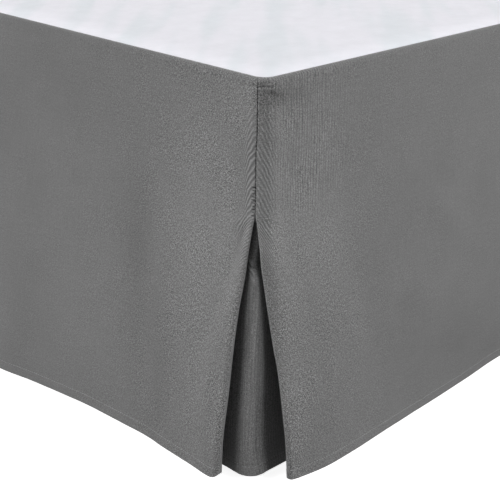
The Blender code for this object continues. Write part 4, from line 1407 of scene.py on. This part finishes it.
def insert(name, node, inserts, in_plan, turned, seed):
    """An insert: along the foot, round the corner, and on down the side."""
    row = read(inserts, INSERT_DEPTHS)
    nipped = row.side_out - row.nip
    angle = np.radians(np.linspace(0, 90, ARC_STEPS))[None, :, None]
    middle = pair(row.corner - nipped, row.foot_out - row.corner)[:, None, :]
    spoke = np.concatenate((-np.sin(angle), np.cos(angle)), axis=-1)
    arc = middle + row.corner[:, None, None] * spoke
    t = np.linspace(1, 0, WING_STEPS)[None, :-1] ** 2
    foot = pair(arc[:, :1, 0] + (INSERT_LENGTH - arc[:, :1, 0]) * t, row.foot_out[:, None])
    from_corner = (INSERT_LENGTH + arc[:, -1:, 1]) * t[:, ::-1]
    side = pair(row.nip[:, None] * (1 - smooth(from_corner / NIP_REACH)) - row.side_out[:, None],
                arc[:, -1:, 1] - from_corner)
    place = np.concatenate((foot, arc, side), axis=1)
    grid = np.array([np.column_stack((in_plan(places), np.full(len(places), DECK_TOP - depth)))
                     for places, depth in zip(place, INSERT_DEPTHS)])
    normal = facing(grid, turned)
    down = INSERT_DEPTHS[:, None]
    across = length_along(place, foot.shape[1] + ARC_STEPS // 2, 0.0)
    folds = pressed(across, down, INSERT_CREASES)
    loose = smooth((down - LOOSE_FROM) / 0.02)
    height = (swelling(across, down, INSERT_RIPPLE, seed) + folds) * loose
    height = height * hill(across, LOOSE_WIDTH) + hem_relief(DROP - down)
    outer = grid + normal * height[..., None]
    inner = outer - facing(outer, turned) * cloth_depth(down, np.ones(across.shape))[..., None]
    places = np.stack((across, np.broadcast_to(down, across.shape)), axis=-1)
    plain = np.zeros(across.shape)
    # Painted light and shade on the insert: a painted highlight at the corner, light on raised folds
    # and shade in dents, and the upper strips fading out down the slot
    upper = smooth((STRIPS_STOP - down) / STRIPS_FADE_OVER)
    painted_light = (strip_tone(across, CORNER_STRIP) + np.clip(folds / FULL_FOLD, -FOLD_TONE, FOLD_TONE)
              + upper * sum(strip_tone(across, strip) for strip in UPPER_STRIPS))
    marks = {"pull": plain, "lines": plain, "painted_light": painted_light, "worked": plain + INSERT_WORKED,
             "ribs": plain + INSERT_RIBS}
    cloth = closed_cloth(name, outer, inner, places, turned, CHARCOAL_TWILL, marks)
    hem_line = outer[nearest(INSERT_DEPTHS, DROP - HEM)] + STITCH_RAISE * normal[-1]
    stitches = sewn(f"{name}_stitches", [hem_line], GREY_THREAD)
    for piece in (cloth, stitches):
        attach(piece, "root")
    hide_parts(node)


def across_foot_from_left(place):
    """Plan places from the left foot corner, across the foot."""
    return np.column_stack((place[:, 0] - BED_WIDTH / 2, FOOT_Y - place[:, 1]))


insert("right_insert", "insert_right", INSERT, across_foot, True, 51)
insert("left_insert", "insert_left", LEFT_INSERT, across_foot_from_left, False, 52)


# ---- floor, lights and camera
# A plain pale studio floor, a dim pale room, and three large softboxes round the bed: one off
# each of the foot and the right side, and one behind the far corner.

FLOOR_PALE = (0.93, 0.93, 0.93)
FLOOR_GLOW = 0.88
WALL_PALE = 0.92
WALL_LIGHT = 0.10

# A softbox: where it stands, what it faces, its width and height, and its power in watts
Softbox = namedtuple("Softbox", "name place target width height power")
SOFTBOXES = [
    Softbox("foot_softbox", (-1.20, -4.40, 2.20), (0.6, -1.0, 0.2), 4.2, 2.2, 197),
    Softbox("side_softbox", (4.15, 0.95, 2.20), (0.8, -0.8, 0.2), 4.2, 2.2, 200),
    Softbox("far_softbox", (-3.4, 3.4, 2.6), (-0.4, 0.5, 0.2), 3.4, 1.8, 150),
]

floor_material, _, floor_shader = bare_material("studio_floor", 0.9)
floor_shader.inputs["Base Color"].default_value = (*FLOOR_PALE, 1.0)
floor_shader.inputs["Emission Color"].default_value = (1.0, 1.0, 1.0, 1.0)
floor_shader.inputs["Emission Strength"].default_value = FLOOR_GLOW
bpy.ops.mesh.primitive_plane_add(size=60.0)
studio_floor = bpy.context.object
studio_floor.name = "studio_floor"
studio_floor.data.materials.append(floor_material)
studio_floor.visible_diffuse = False

for box in SOFTBOXES:
    lamp = bpy.data.lights.new(box.name, "AREA")
    lamp.shape = "RECTANGLE"
    lamp.size, lamp.size_y, lamp.energy = box.width, box.height, box.power
    stand = placed(box.name, lamp)
    stand.location = box.place
    aim = Vector(box.target) - Vector(box.place)
    stand.rotation_euler = aim.to_track_quat("-Z", "Y").to_euler()

# The room's walls are pale to look at, and give little light of their own
room = bpy.data.worlds.new("pale_room")
room.use_nodes = True
wall = room.node_tree.nodes["Background"]
wall.inputs["Color"].default_value = (1.0, 1.0, 1.0, 1.0)
seen = room.node_tree.nodes.new("ShaderNodeLightPath").outputs["Is Camera Ray"]
glow = calc(room.node_tree, "MULTIPLY_ADD", seen, WALL_PALE - WALL_LIGHT, WALL_LIGHT)
room.node_tree.links.new(glow, wall.inputs["Strength"])
bpy.context.scene.world = room
bpy.context.scene.view_settings.view_transform = "Standard"

CAMERA_PLACE = (BED_WIDTH / 2 + 0.6825, FOOT_Y - 0.668, DECK_TOP + 0.235)
CAMERA_AZIMUTH, CAMERA_PITCH = 46.335, 22.112
camera_data = bpy.data.cameras.new("camera")
camera_data.lens = 85.0
camera_data.sensor_width = 36.0
camera_data.clip_start = 0.05
camera = placed("camera", camera_data)
camera.location = CAMERA_PLACE
camera.rotation_euler = (math.radians(90 - CAMERA_PITCH), 0.0, math.radians(CAMERA_AZIMUTH))
bpy.context.scene.camera = camera
